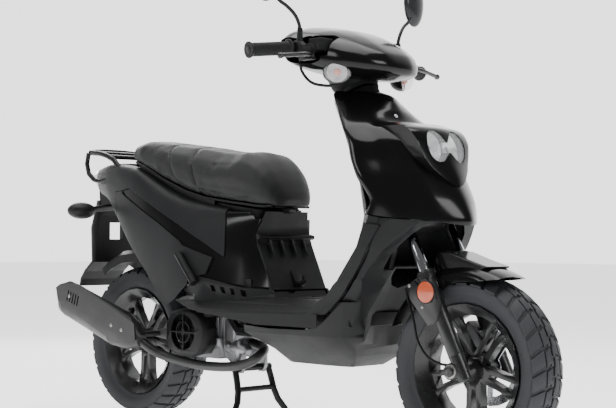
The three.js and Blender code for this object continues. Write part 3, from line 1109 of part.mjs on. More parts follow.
// Engine unit: crankcase, cylinder and belt case in one casting, with the pivot and stand lugs
const crank = [-0.2233, 0, 0.287];
const [crankX, , crankZ] = at(crank);
const fan = { back: -100, front: -118, web: 2.5, radius: 50, shaft: 7, shaftLong: 119, boss: 16,
  bossEnd: 14, blades: 6, sides: 10 };
const engine = {
  beltFront: 84, beltRear: 68, belt: [70, 118], lid: [117, 132], crank: 72, crankSpan: [-84, 71], stub: 9,
  stubSpan: [-72, 71], standLug: [37, 49], muff: [-83, -71], intake: 12, play: 0.5,
    standPlay: 0.6,
};
const lid = { share: [-0.3233, 0, 0.262], along: 0.93, up: 0.9 };
const sump = { size: [150, 120, 60], share: [-0.21, -0.05, 0.24] };
const cylinder = { shares: [[-0.1967, -0.05, 0.288], [-0.1447, -0.05, 0.28]], foot: 40, head: 38 };
const fin = { size: [4, 100, 92], share: [-0.1767, -0.05, 0.284], pitch: 17, count: 3 };
const head = { size: [34, 92, 86], share: [-0.1393, -0.05, 0.282] };
const lugRoom = { size: [70, 72, 90], share: [-0.125, 0, 0.268] };
const intakeShares = [[-0.1633, -0.17, 0.272], [-0.132, -0.34, 0.247]];
const intakeEndShares = [[-0.136, -0.34, 0.2465], [-0.1219, -0.34, 0.246]];
const muffShares = [[-0.2867, 0.3], [-0.2533, 0.3], [-0.248, 0.262], [-0.2867, 0.25], [-0.3467, 0.262],
  [-0.3467, 0.284]];
const shockLugOffsets = { back: 14, low: 12, top: 10, ahead: 12, reach: 60, fall: 30, root: 20, drop: 70,
  plate: 8 };
function engineCase() {
  const axleAt = [rearAxleX, rearAxleZ];
  const halfRing = (x, z, radius, start) => circlePoints(x, z, radius, 14, start).slice(0, 8);
  const caseOutline = [
    ...halfRing(crankX, crankZ, engine.beltFront, -Math.PI / 2), ...halfRing(...axleAt, engine.beltRear,
      Math.PI / 2),
  ];
  const belt = plate(caseOutline, ...engine.belt);
  const [lidX, , lidZ] = at(lid.share);
  const lidOutline = caseOutline.map(([x, z]) => [lidX + (x - lidX) * lid.along,
    lidZ + (z - lidZ) * lid.up]);
  const crankcase = crossBar(crankX, crankZ, engine.crank, ...engine.crankSpan, 10);
  const barrel = bar(...route(cylinder.shares), cylinder.foot, cylinder.head, 9);
  const fins = Array.from({ length: fin.count }, (_, i) => {
    const [x, y, z] = at(fin.share);
    return box(fin.size, [x + i * fin.pitch, y, z]);
  });
  const lugArm = plate(sidePoints(lugShares), -pivot.halfLug + seam, pivot.halfLug);
  const lugSlot = box(lugRoom.size, at(lugRoom.share));
  const lugBore = crossBar(along(pivot.place[0]), up(pivot.place[1]), pivot.pin + engine.play,
    -bodyWidth, bodyWidth, 16);
  const stub = crossBar(...axleAt, engine.stub, ...engine.stubSpan, 10);
  const standLug = bothSides(plate(sidePoints(standLugShares), ...engine.standLug));
  const standBore = crossBar(along(stand.place[0]), up(stand.place[1]), stand.pin + engine.standPlay,
    -bodyWidth, bodyWidth, 10);
  const shaft = crossBar(crankX, crankZ, fan.shaft, -fan.shaftLong, 0, fan.sides);
  const intake = join(bar(...route(intakeShares), engine.intake, engine.intake, 10),
    bar(...route(intakeEndShares), engine.intake, engine.intake, 10));
  const muffArm = plate(sidePoints(muffShares), ...engine.muff);
  const body = join(crankcase, box(sump.size, at(sump.share)), barrel, ...fins, box(head.size,
    at(head.share)),
    intake, cut(lugArm, lugSlot), belt, plate(lidOutline, ...engine.lid), standLug, muffArm);
  return join(cut(body, lugBore, standBore), stub, ...shockLug(), shaft);
}
function shockLug() {
  const [x, z] = [along(shockShares.low[0]), up(shockShares.low[1])];
  const o = shockLugOffsets;
  const [face, side] = [shock.y - shock.halfEye - o.plate, shock.y - shock.halfEye - seatGap];
  const ear = plate([[x - o.back, z - o.low], [x - o.top, z + o.low], [x + o.ahead, z + o.low],
    [x + o.reach, z - o.fall], [x + o.root, z - o.drop]], face, side);
  return [ear, crossBar(x, z, shock.pin, face, shock.y + shock.halfEye + wall, 10)];
}
const lugShares = [[-0.22, 0.33], [-0.16, 0.345], [-0.1, 0.32], [-0.0873, 0.306], [-0.0873, 0.292],
  [-0.0987, 0.28], [-0.1333, 0.262], [-0.22, 0.25]];
const stand = { place: [-0.1167, 0.185], pin: 10, tube: 10, brace: 8, pad: [46, 34, 8], tang: 7,
  tangEnd: 6 };
const standLugShares = [[-0.1733, 0.262], [-0.1067, 0.262], [-0.1053, 0.19], [-0.112, 0.171],
  [-0.1227, 0.171], [-0.1307, 0.19], [-0.18, 0.236]];

const blade = { size: [3, 15, 30], centre: [4, -109, 34], tilt: 24 };
function coolingFan() {
  const bore = (fan.shaft + seatGap) / Math.cos(Math.PI / fan.sides);
  const disc0 = turned([[bore, fan.back], [fan.radius, fan.back], [fan.radius, fan.back - fan.web],
    [bore, fan.back - fan.web], [bore, fan.back]], 18);
  const hubRing = turned([[bore, fan.back], [fan.boss, fan.back], [fan.bossEnd, fan.front], [bore,
    fan.front],
    [bore, fan.back]], fan.sides);
  const bladeAt = (i) => moved(box(blade.size, blade.centre, [0, blade.tilt, 0]), middle,
    [0, (i * 360) / fan.blades, 0]);
  const blades = Array.from({ length: fan.blades }, (_, i) => bladeAt(i));
  const core = cut(join(disc0, hubRing, ...blades), crossBar(0, 0, bore, -bodyWidth, 0, fan.sides));
  return moved(core, [crankX, 0, crankZ], middle);
}

// Fan cover: a stepped shell with a round grille over the fan
const shroud = {
  face: -132, step: -122, stepInside: -121, foot: -84.3, roomFoot: -80, roomStep: -118, roomTop: -118.5,
  roomFace: -128.5, crankRoom: 73, crankFace: -86,
};
const shroudDraw = { face: 0.9, room: 0.93, roomFace: 0.84 };
const grille = {
  hole: 54, holeTo: -110, bar: [4, 8, 50], barAside: -128, barAt: 31, bars: 4, ring: 31, ringHalf: 2,
  ringSpan: [-131, -125], button: 10,
};
function fanCover() {
  const outline = sidePoints(fanCoverShares);
  const drawn = (share) => outline.map(([x, z]) => [crankX + (x - crankX) * share,
    crankZ + (z - crankZ) * share]);
  const outer = join(plate(outline, shroud.step, shroud.foot),
    plate(drawn(shroudDraw.face), shroud.face, shroud.stepInside));
  const inner = join(plate(drawn(shroudDraw.room), shroud.roomTop, shroud.roomFoot),
    plate(drawn(shroudDraw.roomFace), shroud.roomFace, shroud.roomStep));
  const grilleHole = crossBar(crankX, crankZ, grille.hole, -bodyWidth, grille.holeTo, 20);
  const bars = Array.from({ length: grille.bars }, (_, i) =>
    moved(box(grille.bar, [0, grille.barAside, grille.barAt]), [crankX, 0, crankZ], [0,
      (i * 360) / grille.bars, 0]));
  const [y0, y1] = grille.ringSpan;
  const [r0, r1] = [grille.ring - grille.ringHalf, grille.ring + grille.ringHalf];
  const ring = turned([[r0, y0], [r1, y0], [r1, y1], [r0, y1], [r0, y0]], 16, [crankX, 0, crankZ]);
  const middleButton = crossBar(crankX, crankZ, grille.button, y0, y1, 16);
  const crankRoom = crossBar(crankX, crankZ, shroud.crankRoom, shroud.crankFace, 0, 10);
  return cut(join(cut(outer, inner, grilleHole), ...bars, ring, middleButton), crankRoom);
}
const fanCoverShares = [[-0.2787, 0.25], [-0.2667, 0.228], [-0.24, 0.216], [-0.2, 0.214],
  [-0.172, 0.226], [-0.1587, 0.252], [-0.1573, 0.3], [-0.1667, 0.334], [-0.1933, 0.352], [-0.23, 0.358],
  [-0.2633, 0.346], [-0.2773, 0.318]];

// Exhaust: bent pipe, muffler of tapered sections and tail pipe, with posts for the heat shield
const exhaustSize = { pipe: 14, tail: 12, tailBore: 9, hanger: 8, hangerSpan: [-150, -83.4], post: 7,
  postSpan: [-222.7, -170] };
const mufflerSections = [[0, 44], [0.03, 52], [0.72, 56], [0.9, 44], [1.02, 18]];
const hangerShare = [-0.3373, 0.273];
const postShares = [[-0.52, 0.35], [-0.3733, 0.276]];
function exhaustPipe() {
  const pipe = tube(route(pipeShares), exhaustSize.pipe, 13, 6);
  const [a, b] = route(mufflerShares);
  const point = (share) => a.map((v, i) => v + (b[i] - v) * share);
  const muffler = mufflerSections.slice(1).map(([share, radius], i) =>
    bar(point(mufflerSections[i][0]), point(share), mufflerSections[i][1], radius, 9));
  const tailPipe = cut(bar(point(-0.05), point(0.02), exhaustSize.tail, exhaustSize.tail, 10),
    bar(point(-0.08), point(0.012), exhaustSize.tailBore, exhaustSize.tailBore, 9));
  const hanger = crossBar(along(hangerShare[0]), up(hangerShare[1]), exhaustSize.hanger,
    ...exhaustSize.hangerSpan, 10);
  const posts = sidePoints(postShares).map(([x, z]) => crossBar(x, z, exhaustSize.post,
    ...exhaustSize.postSpan, 8));
  return join(pipe, ...muffler, tailPipe, hanger, ...posts);
}
const mufflerShares = [[-0.5733, -0.83, 0.372], [-0.3333, -0.8, 0.256]];
const pipeShares = [[-0.34, -0.79, 0.258], [-0.3133, -0.7, 0.226], [-0.288, -0.56, 0.206],
  [-0.1947, -0.5, 0.188], [-0.106, -0.5, 0.192], [-0.06, -0.48, 0.206], [-0.0413, -0.42, 0.224],
  [-0.0467, -0.25, 0.24], [-0.0733, -0.04, 0.246], [-0.1, 0.05, 0.25], [-0.126, 0.07, 0.256]];

const shieldSpan = [-228, -223];
const heatSlot = { count: 5, pitch: 13, fall: 4, shares: [[-0.52, 0.402], [-0.516, 0.4], [-0.5227,
  0.368], [-0.5267, 0.37]] };
function heatShield() {
  const slots = Array.from({ length: heatSlot.count }, (_, i) => plate(
    sidePoints(heatSlot.shares).map(([x, z]) => [x + i * heatSlot.pitch, z - i * heatSlot.fall]),
    shieldSpan[0] - seam, shieldSpan[1] + seam));
  return cut(plate(sidePoints(heatShieldShares), ...shieldSpan), ...slots);
}
const heatShieldShares = [[-0.5653, 0.409], [-0.5507, 0.419], [-0.5147, 0.43], [-0.49, 0.422],
  [-0.316, 0.332], [-0.2967, 0.309], [-0.2933, 0.262], [-0.306, 0.255], [-0.358, 0.248], [-0.5573, 0.365]];

const hugger = { radius: 292, half: 70, wall: 3, skirt: 40, shoulder: 14, draw: 2, crown: 3, stay: [66,
  69.7] };
function rearMudguard() {
  const [r, w] = [hugger.radius, hugger.half];
  const profile = [[r - hugger.skirt, -w], [r - hugger.shoulder, -w + hugger.draw], [r, -w * 0.7],
    [r + hugger.crown, 0], [r, w * 0.7], [r - hugger.shoulder, w - hugger.draw], [r - hugger.skirt, w]];
  const last = profile.length - 1;
  const inner = profile.map(([a, b], i) => [a - (i === 0 || i === last ? 0 : hugger.wall),
    b * (1 - hugger.wall / w)]);
  const arch = archShell(profile, inner, [rearAxleX, 0, rearAxleZ]);
  return join(arch.intersect(plate(sidePoints(hugShares), ...spanY)), plate(sidePoints(hugStayShares),
    ...hugger.stay));
}
const hugShares = [[-0.44, 0.24], [-0.3067, 0.445], [-0.2667, 0.5], [-0.3333, 0.64], [-0.5467, 0.64],
  [-0.56, 0.56], [-0.548, 0.47]];
const hugStayShares = [[-0.4267, 0.5], [-0.3733, 0.49], [-0.3333, 0.3], [-0.36, 0.296]];

const carb = { body: 17, bowl: 14, bowlTop: 17, cap: 11 };
const carbShares = [[-0.1213, -0.34, 0.246], [-0.0787, -0.34, 0.242]];
const bowlShares = [[-0.1, -0.34, 0.209], [-0.1, -0.34, 0.244], [-0.1, -0.34, 0.27]];
function carburettor() {
  const [low, centre, top] = route(bowlShares);
  return join(bar(...route(carbShares), carb.body, carb.body, 10), bar(low, centre, carb.bowl,
    carb.bowlTop, 10),
    bar(centre, top, carb.bowl, carb.cap, 10));
}

// Shock absorber
const shockTop = [along(shockShares.top[0]), shock.y, up(shockShares.top[1])];
const shockLow = [along(shockShares.low[0]), shock.y, up(shockShares.low[1])];
const shockAt = (share) => shockTop.map((v, i) => v + (shockLow[i] - v) * share);
const eye = (centre) => cut(crossBar(centre[0], centre[2], shock.eye, shock.y - shock.halfEye,
  shock.y + shock.halfEye, 9),
  crossBar(centre[0], centre[2], shock.pin + seatGap, 0, bodyWidth, 10));
function shockUpper() {
  const rod = bar(shockAt(0.03), shockAt(0.66), shock.rod, shock.rod, 10);
  const cap = bar(shockAt(0.07), shockAt(0.11), shock.coil + shock.cup, shock.coil + shock.cup, 9);
  const bore = crossBar(shockTop[0], shockTop[2], shock.pin + seatGap, 0, bodyWidth, 10);
  return cut(join(eye(shockTop), rod, cap), bore);
}
function shockLower() {
  const bodyOf = join(bar(shockAt(0.5), shockAt(0.955), shock.body, shock.body, 10), bar(shockAt(0.94),
    shockAt(0.99), 12, 12, 10));
  const cup = bar(shockAt(0.84), shockAt(0.88), shock.coil + shock.cup, shock.coil + shock.cup, 9);
  const hollow = bar(shockAt(0.4), shockAt(0.93), shock.rod + 2, shock.rod + 2, 10);
  const bore = crossBar(shockLow[0], shockLow[2], shock.pin + seatGap, 0, bodyWidth, 10);
  return cut(join(cut(join(bodyOf, cup), hollow), eye(shockLow)), bore);
}
const spring = { turns: 8, steps: 8, sides: 5, from: 0.11, to: 0.84 };
let springGap = 0;
// Least distance between points of the wire that lie about a turn or more apart.
function leastTurnGap(rings) {
  let least = Infinity;
  rings.forEach((ring, i) => rings.slice(i + spring.steps - 1).forEach((other) => {
    ring.forEach((p) => other.forEach((q) => {
      least = Math.min(least, p.distanceTo(q));
    }));
  }));
  return least;
}
function springSolid() {
  const a = new THREE.Vector3(...shockAt(spring.from));
  const b = new THREE.Vector3(...shockAt(spring.to));
  const dir = b.clone().sub(a);
  const length = dir.length() - (shock.wire + seatGap) * 2;
  dir.normalize();
  const start = a.clone().addScaledVector(dir, shock.wire + seatGap);
  const turn = new THREE.Quaternion().setFromUnitVectors(new THREE.Vector3(0, 0, 1), dir);
  const count = spring.turns * spring.steps;
  const centre = Array.from({ length: count + 1 }, (_, i) => {
    const angle = (i / spring.steps) * Math.PI * 2;
    return new THREE.Vector3(shock.coil * Math.cos(angle), shock.coil * Math.sin(angle),
      (length * i) / count);
  });
  const rings = centre.map((p, i) => {
    const ahead = centre[Math.min(i + 1, count)].clone().sub(centre[Math.max(i - 1, 0)]).normalize();
    const out = new THREE.Vector3(p.x, p.y, 0).normalize();
    const side = ahead.clone().cross(out).normalize();
    const outward = side.clone().cross(ahead).normalize();
    return Array.from({ length: spring.sides }, (_, k) => {
      const t = (k / spring.sides) * Math.PI * 2;
      return p.clone().addScaledVector(outward, shock.wire * Math.cos(t)).addScaledVector(side,
        shock.wire * Math.sin(t))
        .applyQuaternion(turn).add(start);
    });
  });
  springGap = leastTurnGap(rings);
  return skin(rings);
}

// Centre stand, kick lever, footrests
const braceShare = [-0.1047, 0.36, 0.125];
const padShare = [-0.0833, 0.65, 0.004];
const tangShares = [[-0.0853, 0.6, 0.02], [-0.1133, 0.88, 0.034]];
const pinHalfShare = 0.37;
function centreStand() {
  const [x, z] = [along(stand.place[0]), up(stand.place[1])];
  const pin = crossBar(x, z, stand.pin, -across(pinHalfShare), across(pinHalfShare), 10);
  const leg = tube(route(standShares), stand.tube, 6, 6);
  const [bx, by, bz] = at(braceShare);
  const brace = crossBar(bx, bz, stand.brace, -by, by, 9);
  const tang = bar(...route(tangShares), stand.tang, stand.tangEnd, 10);
  return join(pin, bothSides(join(leg, box(stand.pad, at(padShare)))), brace, tang);
}
const standShares = [[-0.1167, 0.33, 0.185], [-0.1107, 0.34, 0.16], [-0.1, 0.38, 0.1],
  [-0.0893, 0.58, 0.04], [-0.084, 0.65, 0.005]];

const kick = { shaft: 8, arm: 7, shaftSpan: [133, 150], pedalSpan: [150, 196] };
const kickShares = [[-0.2933, 0.74, 0.25], [-0.32, 0.76, 0.262], [-0.36, 0.78, 0.292]];
function kickLever() {
  const [foot, , end] = route(kickShares);
  return join(crossBar(foot[0], foot[2], kick.shaft, ...kick.shaftSpan, 16), tube(route(kickShares),
    kick.arm, 4, 8),
    crossBar(end[0], end[2], kick.shaft, ...kick.pedalSpan, 9));
}

const rest = { radius: 11, foot: 12, shares: [[-0.19, 0.972, 0.52], [-0.1367, 0.992, 0.436]] };
const footrest = (side) => bar(...rest.shares.map((share) => sided(share, side)), rest.radius, rest.foot,
  10);

// Rear carrier and plate holder
const rackTube = 9;
const rackGap = 1.5;
function rackPath(margin) {
  const side = tube(route(rackSideShares), rackTube + margin, 6, 5);
  const loop = tube(route(rackLoopShares), rackTube - seam + margin, 7, 5);
  return bothSides(join(side, loop));
}
const rackSideShares = [[-0.4287, 0.61, 0.752], [-0.4427, 0.6, 0.79], [-0.46, 0.6, 0.812],
  [-0.5067, 0.6, 0.836], [-0.5467, 0.58, 0.842], [-0.5587, 0.5, 0.846]];
const rackLoopShares = [[-0.5573, 0.56, 0.842], [-0.5613, 0.57, 0.806], [-0.5507, 0.58, 0.77],
  [-0.5207, 0.59, 0.748], [-0.4667, 0.6, 0.758], [-0.4373, 0.61, 0.764]];
function luggageRack() {
  const rear = tube(route(rackRearShares), rackTube, 6, 5);
  const bars = rackBarShares.map((share) => { const [x, y, z] = at(share); return crossBar(x, z,
    rackTube - seam * 2, -y, y, 8); });
  return join(rackPath(0), rear, ...bars);
}
const rackRearShares = [[-0.5467, -0.58, 0.842], [-0.5587, -0.5, 0.846], [-0.564, -0.3, 0.85],
  [-0.564, 0.3, 0.85], [-0.5587, 0.5, 0.846], [-0.5467, 0.58, 0.842]];
const rackBarShares = [[-0.48, 0.6, 0.825], [-0.52, 0.595, 0.839]];

const holder = { flapHalf: 78, stayHalf: 60, stalk: 12, stalkEnd: 10, lamp: [34, 48, 26], window: [53,
  55] };
const holderSpan = [-0.5733, -0.5613];
const windowShare = [-0.5667, 0.03, 0.59];
const stalkShares = [[-0.5267, 0.2, 0.668], [-0.5, 0.85, 0.655]];
const rearLampShare = [-0.5013, 1, 0.652];
function plateHolder() {
  const face = frontPlate(plateFront.map(([y, z]) => [across(y), up(z)]), ...holderSpan.map(along));
  const hole = box([overrun, ...holder.window], at(windowShare));
  const flap = plate(sidePoints(flapShares), -holder.flapHalf, holder.flapHalf);
  const stay = plate(sidePoints(stayShares), -holder.stayHalf, holder.stayHalf);
  const stalk = (side) => bar(...stalkShares.map((share) => sided(share, side)), holder.stalk,
    holder.stalkEnd, 8);
  const pod = (side) => toSolid(new THREE.SphereGeometry(1, 8, 5).scale(...holder.lamp)
    .translate(...sided(rearLampShare, side)));
  return join(cut(face, hole), flap, cut(stay, bodySolid(-seatGap)), ...[-1,
    1].flatMap((side) => [stalk(side), pod(side)]));
}
const plateFront = [[-0.4, 0.488], [0.4, 0.488], [0.42, 0.6], [0.3, 0.69], [-0.3, 0.69], [-0.42, 0.6]];
const flapShares = [[-0.5613, 0.494], [-0.5733, 0.494], [-0.6013, 0.461], [-0.616, 0.434],
  [-0.62, 0.411], [-0.616, 0.409], [-0.6093, 0.432], [-0.5947, 0.457], [-0.568, 0.486]];
const stayShares = [[-0.5667, 0.74], [-0.5613, 0.64], [-0.5533, 0.64], [-0.5333, 0.668],
  [-0.488, 0.672], [-0.4813, 0.7], [-0.5333, 0.73]];

const railTunnel = () => bothSides(tube(route(floorRailShares), frameTube + rackGap, 11, 5));

const cable = { control: 4, speed: 3.5 };
const controlCable = () => tube(route(cableShares), cable.control, 12, 8);
const cableShares = [[0.1353, -0.895, 1.056], [0.1333, -0.86, 1.053], [0.1253, -0.8, 1.022],
  [0.1433, -0.75, 0.985], [0.1747, -0.7, 0.972], [0.2013, -0.655, 0.971]];
const speedoCable = () => tube(route(speedoShares), cable.speed, 15, 8);
const speedoShares = [[0.4347, -0.3095, 0.243], [0.4167, -0.31, 0.246], [0.396, -0.31, 0.248],
  [0.377, -0.39, 0.264], [0.3575, -0.42, 0.306], [0.349, -0.42, 0.356], [0.3335, -0.4, 0.41],
  [0.3295, -0.4, 0.438]];

function seatBase() {
  const knuckles = bothSides(plate(sidePoints(knuckleShares), seatHinge.half, seatHinge.half + wall));
  const pin = crossBar(hingeX, hingeZ, seatHinge.pin, -seatHinge.half - wall, seatHinge.half + wall, 10);
  return join(panSolid(0), knuckles, pin);
}

add('main_frame', mainFrame(), blackSteel);
add('front_fairing', frontFairing(), glossBlack);
add('headlight_lens', headlightLens(), clearLens);
add('inner_legshield', innerLegshield(), matteGrey);
add('lower_legshield', lowerLegshield(), matteGrey);
add('floorboard', floorboard(), matteGrey);
add('seat_front_panel', seatFrontPanel(), matteGrey);
add('center_cover', centreCover(), glossBlack);
add('seat_cowl', seatCowl(), satinCharcoal);
add('rear_cover_right', rearCover(-1), glossBlack);
add('rear_cover_left', rearCover(1), glossBlack);
add('tail_light', tailLight(), redLens);
add('plate_holder', plateHolder(), matteGrey);
add('luggage_rack', luggageRack(), blackSteel);
add('helmet_box', helmetBox(), innerPlastic);
add('fuel_tank', fuelTank(), blackSteel);
add('seat_cushion', cut(seatSolid(0), panSolid(seatGap), ...channels()), vinyl);
add('seat_base', seatBase(), innerPlastic);
add('footrest_right', footrest(-1), silverAlloy);
add('footrest_left', footrest(1), silverAlloy);
add('steering_stem', steeringStem(), blackSteel);
add('fork_tube_right', forkTube(-1), chrome);
add('fork_tube_left', forkTube(1), chrome);
add('handlebar', handlebar(), blackSteel);
add('handlebar_cowl', handlebarCowl(), glossBlack);
add('front_signal_right', signalPod(-1, 0), clearLens);
add('front_signal_left', signalPod(1, 0), clearLens);
add('left_grip', grip(1), rubber);
add('switch_housing_right', switchHousing(-1), innerPlastic);
add('switch_housing_left', switchHousing(1), innerPlastic);
add('control_cable', controlCable(), innerPlastic);
add('throttle_grip', grip(-1), rubber);
add('brake_lever_right', brakeLever(-1), silverAlloy);
add('brake_lever_left', brakeLever(1), silverAlloy);
add('mirror_right', mirror(-1), innerPlastic);
add('mirror_left', mirror(1), innerPlastic);
add('start_button', button(-1), rubber);
add('horn_button', button(1), rubber);
add('fork_slider_right', forkSliderRight(), silverAlloy);
add('fork_slider_left', forkSliderLeft(), silverAlloy);
add('front_mudguard', frontMudguard(), glossBlack);
add('brake_caliper', brakeCaliper(), silverAlloy);
add('speedometer_cable', speedoCable(), innerPlastic);
add('front_rim', rimSolid(frontAxle.toArray(), hub.bore), blackAlloy);
add('front_tyre', tyreSolid(frontAxle.toArray()), rubber);
add('brake_disc', brakeDisc(), chrome);
add('engine_case', engineCase(), silverAlloy);
add('fan_cover', fanCover(), innerPlastic);
add('exhaust', exhaustPipe(), blackSteel);
add('heat_shield', heatShield(), chrome);
add('rear_mudguard', rearMudguard(), innerPlastic);
add('carburettor', carburettor(), silverAlloy);
add('cooling_fan', coolingFan(), innerPlastic);
add('rear_rim', rimSolid([rearAxleX, 0, rearAxleZ], hub.bore + 1), blackAlloy);
add('rear_tyre', tyreSolid([rearAxleX, 0, rearAxleZ]), rubber);
add('shock_upper', shockUpper(), chrome);
add('shock_spring', springSolid(), chrome);
add('shock_lower', shockLower(), blackSteel);
add('centre_stand', centreStand(), blackSteel);
add('kick_lever', kickLever(), chrome);


const scooter = new THREE.Group();
pieces.forEach((piece) => scooter.add(piece));
const bounds = new THREE.Box3().setFromObject(scooter);
scooter.position.x = -(bounds.min.x + bounds.max.x) / 2;

console.log(`shock_spring least gap between turns ${springGap.toFixed(2)} mm`);

export default scooter;
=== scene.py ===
"""Looks of a step-through moped scooter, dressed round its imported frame.

Every size is in metres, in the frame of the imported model: +X ahead, +Y to the rider's left, +Z up.
"""

from __future__ import annotations

import json
import logging
import math
from dataclasses import dataclass, field
from enum import Enum

import bpy
from mathutils import Matrix, Vector

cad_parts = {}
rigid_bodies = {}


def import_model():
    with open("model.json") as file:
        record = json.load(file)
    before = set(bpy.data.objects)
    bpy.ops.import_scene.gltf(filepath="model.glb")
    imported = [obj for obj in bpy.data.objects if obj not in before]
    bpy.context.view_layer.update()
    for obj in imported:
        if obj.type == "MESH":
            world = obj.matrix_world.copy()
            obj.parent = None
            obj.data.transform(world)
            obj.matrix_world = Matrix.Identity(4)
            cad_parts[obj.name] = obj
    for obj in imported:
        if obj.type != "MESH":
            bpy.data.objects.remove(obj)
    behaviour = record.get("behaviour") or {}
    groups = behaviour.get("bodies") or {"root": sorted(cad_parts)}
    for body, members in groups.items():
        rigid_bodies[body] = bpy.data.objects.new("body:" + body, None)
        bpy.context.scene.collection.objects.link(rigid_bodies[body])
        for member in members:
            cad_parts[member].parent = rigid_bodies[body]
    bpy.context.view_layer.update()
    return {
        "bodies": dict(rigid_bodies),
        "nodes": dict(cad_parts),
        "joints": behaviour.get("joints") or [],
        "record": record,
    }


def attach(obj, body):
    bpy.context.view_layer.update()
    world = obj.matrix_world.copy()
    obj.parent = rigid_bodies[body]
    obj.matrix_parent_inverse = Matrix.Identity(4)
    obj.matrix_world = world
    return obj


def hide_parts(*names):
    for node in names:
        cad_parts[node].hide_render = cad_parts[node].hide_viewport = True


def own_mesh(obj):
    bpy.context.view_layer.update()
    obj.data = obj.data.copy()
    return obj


LOG = logging.getLogger("scooter")
Point = tuple[float, float, float]


class Body(str, Enum):
    """The moving bodies that the dressed pieces ride on."""

    FRAME = "frame"
    SEAT = "seat"
    STEERING = "steering"
    FORK_LOWER = "fork_lower"
    FRONT_WHEEL = "front_wheel"
    REAR_WHEEL = "rear_wheel"
    SWING = "swing_unit"
    THROTTLE = "throttle"
    MIRROR_RIGHT = "mirror_right_body"
    MIRROR_LEFT = "mirror_left_body"


class Axis(Enum):
    """Directions that a turned piece may stand along."""

    Y = (0.0, 1.0, 0.0)
    Z = (0.0, 0.0, 1.0)


class Shader:
    """One material's node tree: a Principled shader fed by patterns on Object coordinates."""

    def __init__(self, name: str) -> None:
        """Starts a material called name with an empty pattern."""
        self.material = bpy.data.materials.new(name)
        self.material.use_nodes = True
        self.tree = self.material.node_tree
        self.main = self.tree.nodes["Principled BSDF"]
        self.coords = self.tree.nodes.new("ShaderNodeTexCoord").outputs["Object"]

    def fixed(self, **values: object) -> None:
        """Sets the shader's own sockets; an underscore in a name stands for a space."""
        for name, value in values.items():
            self.main.inputs[name.replace("_", " ")].default_value = value

    def noise(self, scale: float, detail: float = 3.0) -> object:
        """Cloudy pattern.

        Args:
            scale: waves per metre.
            detail: layers of finer clouds.

        Returns:
            The pattern's value socket, from 0 to 1.
        """
        node = self.tree.nodes.new("ShaderNodeTexNoise")
        node.inputs["Scale"].default_value = scale
        node.inputs["Detail"].default_value = detail
        self.tree.links.new(self.placed((0, 0, 0)), node.inputs["Vector"])
        return node.outputs["Fac"]

    def cells(self, scale: float, feature: str = "F1") -> object:
        """Pattern of rounded cells, as in moulded grain or leather; returns its distance socket."""
        node = self.tree.nodes.new("ShaderNodeTexVoronoi")
        node.feature = feature
        node.inputs["Scale"].default_value = scale
        self.tree.links.new(self.coords, node.inputs["Vector"])
        return node.outputs["Distance"]

    def rings(self, centre: Point, scale: float) -> object:
        """Fine rings about a line along Y through centre, as turning leaves; returns their value."""
        node = self.tree.nodes.new("ShaderNodeTexWave")
        node.wave_type = "RINGS"
        node.rings_direction = "Y"
        node.inputs["Scale"].default_value = scale
        node.inputs["Distortion"].default_value = 0.4
        self.tree.links.new(self.placed(centre), node.inputs["Vector"])
        return node.outputs["Fac"]

    def placed(self, centre: Point) -> object:
        """Object coordinates read from centre; returns the vector socket."""
        node = self.tree.nodes.new("ShaderNodeMapping")
        node.vector_type = "TEXTURE"
        node.inputs["Location"].default_value = centre
        self.tree.links.new(self.coords, node.inputs["Vector"])
        return node.outputs["Vector"]

    def ranged(self, value: object, low: float, high: float, start: float = 0.3, stop: float = 0.7) -> object:
        """Value stretched from start..stop to low..high.

        Args:
            value: the socket read.
            low: result at start.
            high: result at stop.
            start: value that gives low.
            stop: value that gives high.

        Returns:
            The stretched value's socket.
        """
        node = self.tree.nodes.new("ShaderNodeMapRange")
        for name, number in zip(("From Min", "From Max", "To Min", "To Max"), (start, stop, low, high)):
            node.inputs[name].default_value = number
        self.tree.links.new(value, node.inputs["Value"])
        return node.outputs["Result"]

    def mixed(self, factor: object, first: Point, second: Point) -> object:
        """Colour between first and second by factor; returns the colour socket."""
        node = self.tree.nodes.new("ShaderNodeMix")
        node.data_type = "RGBA"
        node.inputs["A"].default_value = (*first, 1)
        node.inputs["B"].default_value = (*second, 1)
        self.tree.links.new(factor, node.inputs["Factor"])
        return node.outputs["Result"]

    def bump(self, *layers: tuple[object, float]) -> None:
        """Stacks patterns as relief, each with its depth in metres."""
        last = None
        for value, depth in layers:
            node = self.tree.nodes.new("ShaderNodeBump")
            node.inputs["Distance"].default_value = depth
            self.tree.links.new(value, node.inputs["Height"])
            if last:
                self.tree.links.new(last, node.inputs["Normal"])
            last = node.outputs["Normal"]
        self.tree.links.new(last, self.main.inputs["Normal"])

    def link(self, value: object, name: str) -> None:
        """Feeds a socket of the shader."""
        self.tree.links.new(value, self.main.inputs[name])


@dataclass(frozen=True)
class Finish:
    """A surface with a colour that varies a little and a roughness that wanders with it."""

    name: str
    colour: Point
    second: Point
    roughness: float = 0.4
    spread: float = 0.08
    metallic: float = 0.0
    patches: float = 14.0

    def start(self) -> Shader:
        """Makes the shader with the finish's own colour and roughness; returns it."""
        shader = Shader(self.name)
        clouds = shader.noise(self.patches, 4)
        shader.link(shader.mixed(clouds, self.colour, self.second), "Base Color")
        low, high = self.roughness - self.spread, self.roughness + self.spread
        shader.link(shader.ranged(clouds, low, high), "Roughness")
        shader.fixed(Metallic=self.metallic)
        return shader

    def build(self) -> bpy.types.Material:
        """Makes the material and returns it."""
        shader = self.start()
        self.detail(shader)
        return shader.material

    def detail(self, shader: Shader) -> None:
        """Adds fine unevenness."""
        shader.bump((shader.noise(900), 0.00005))


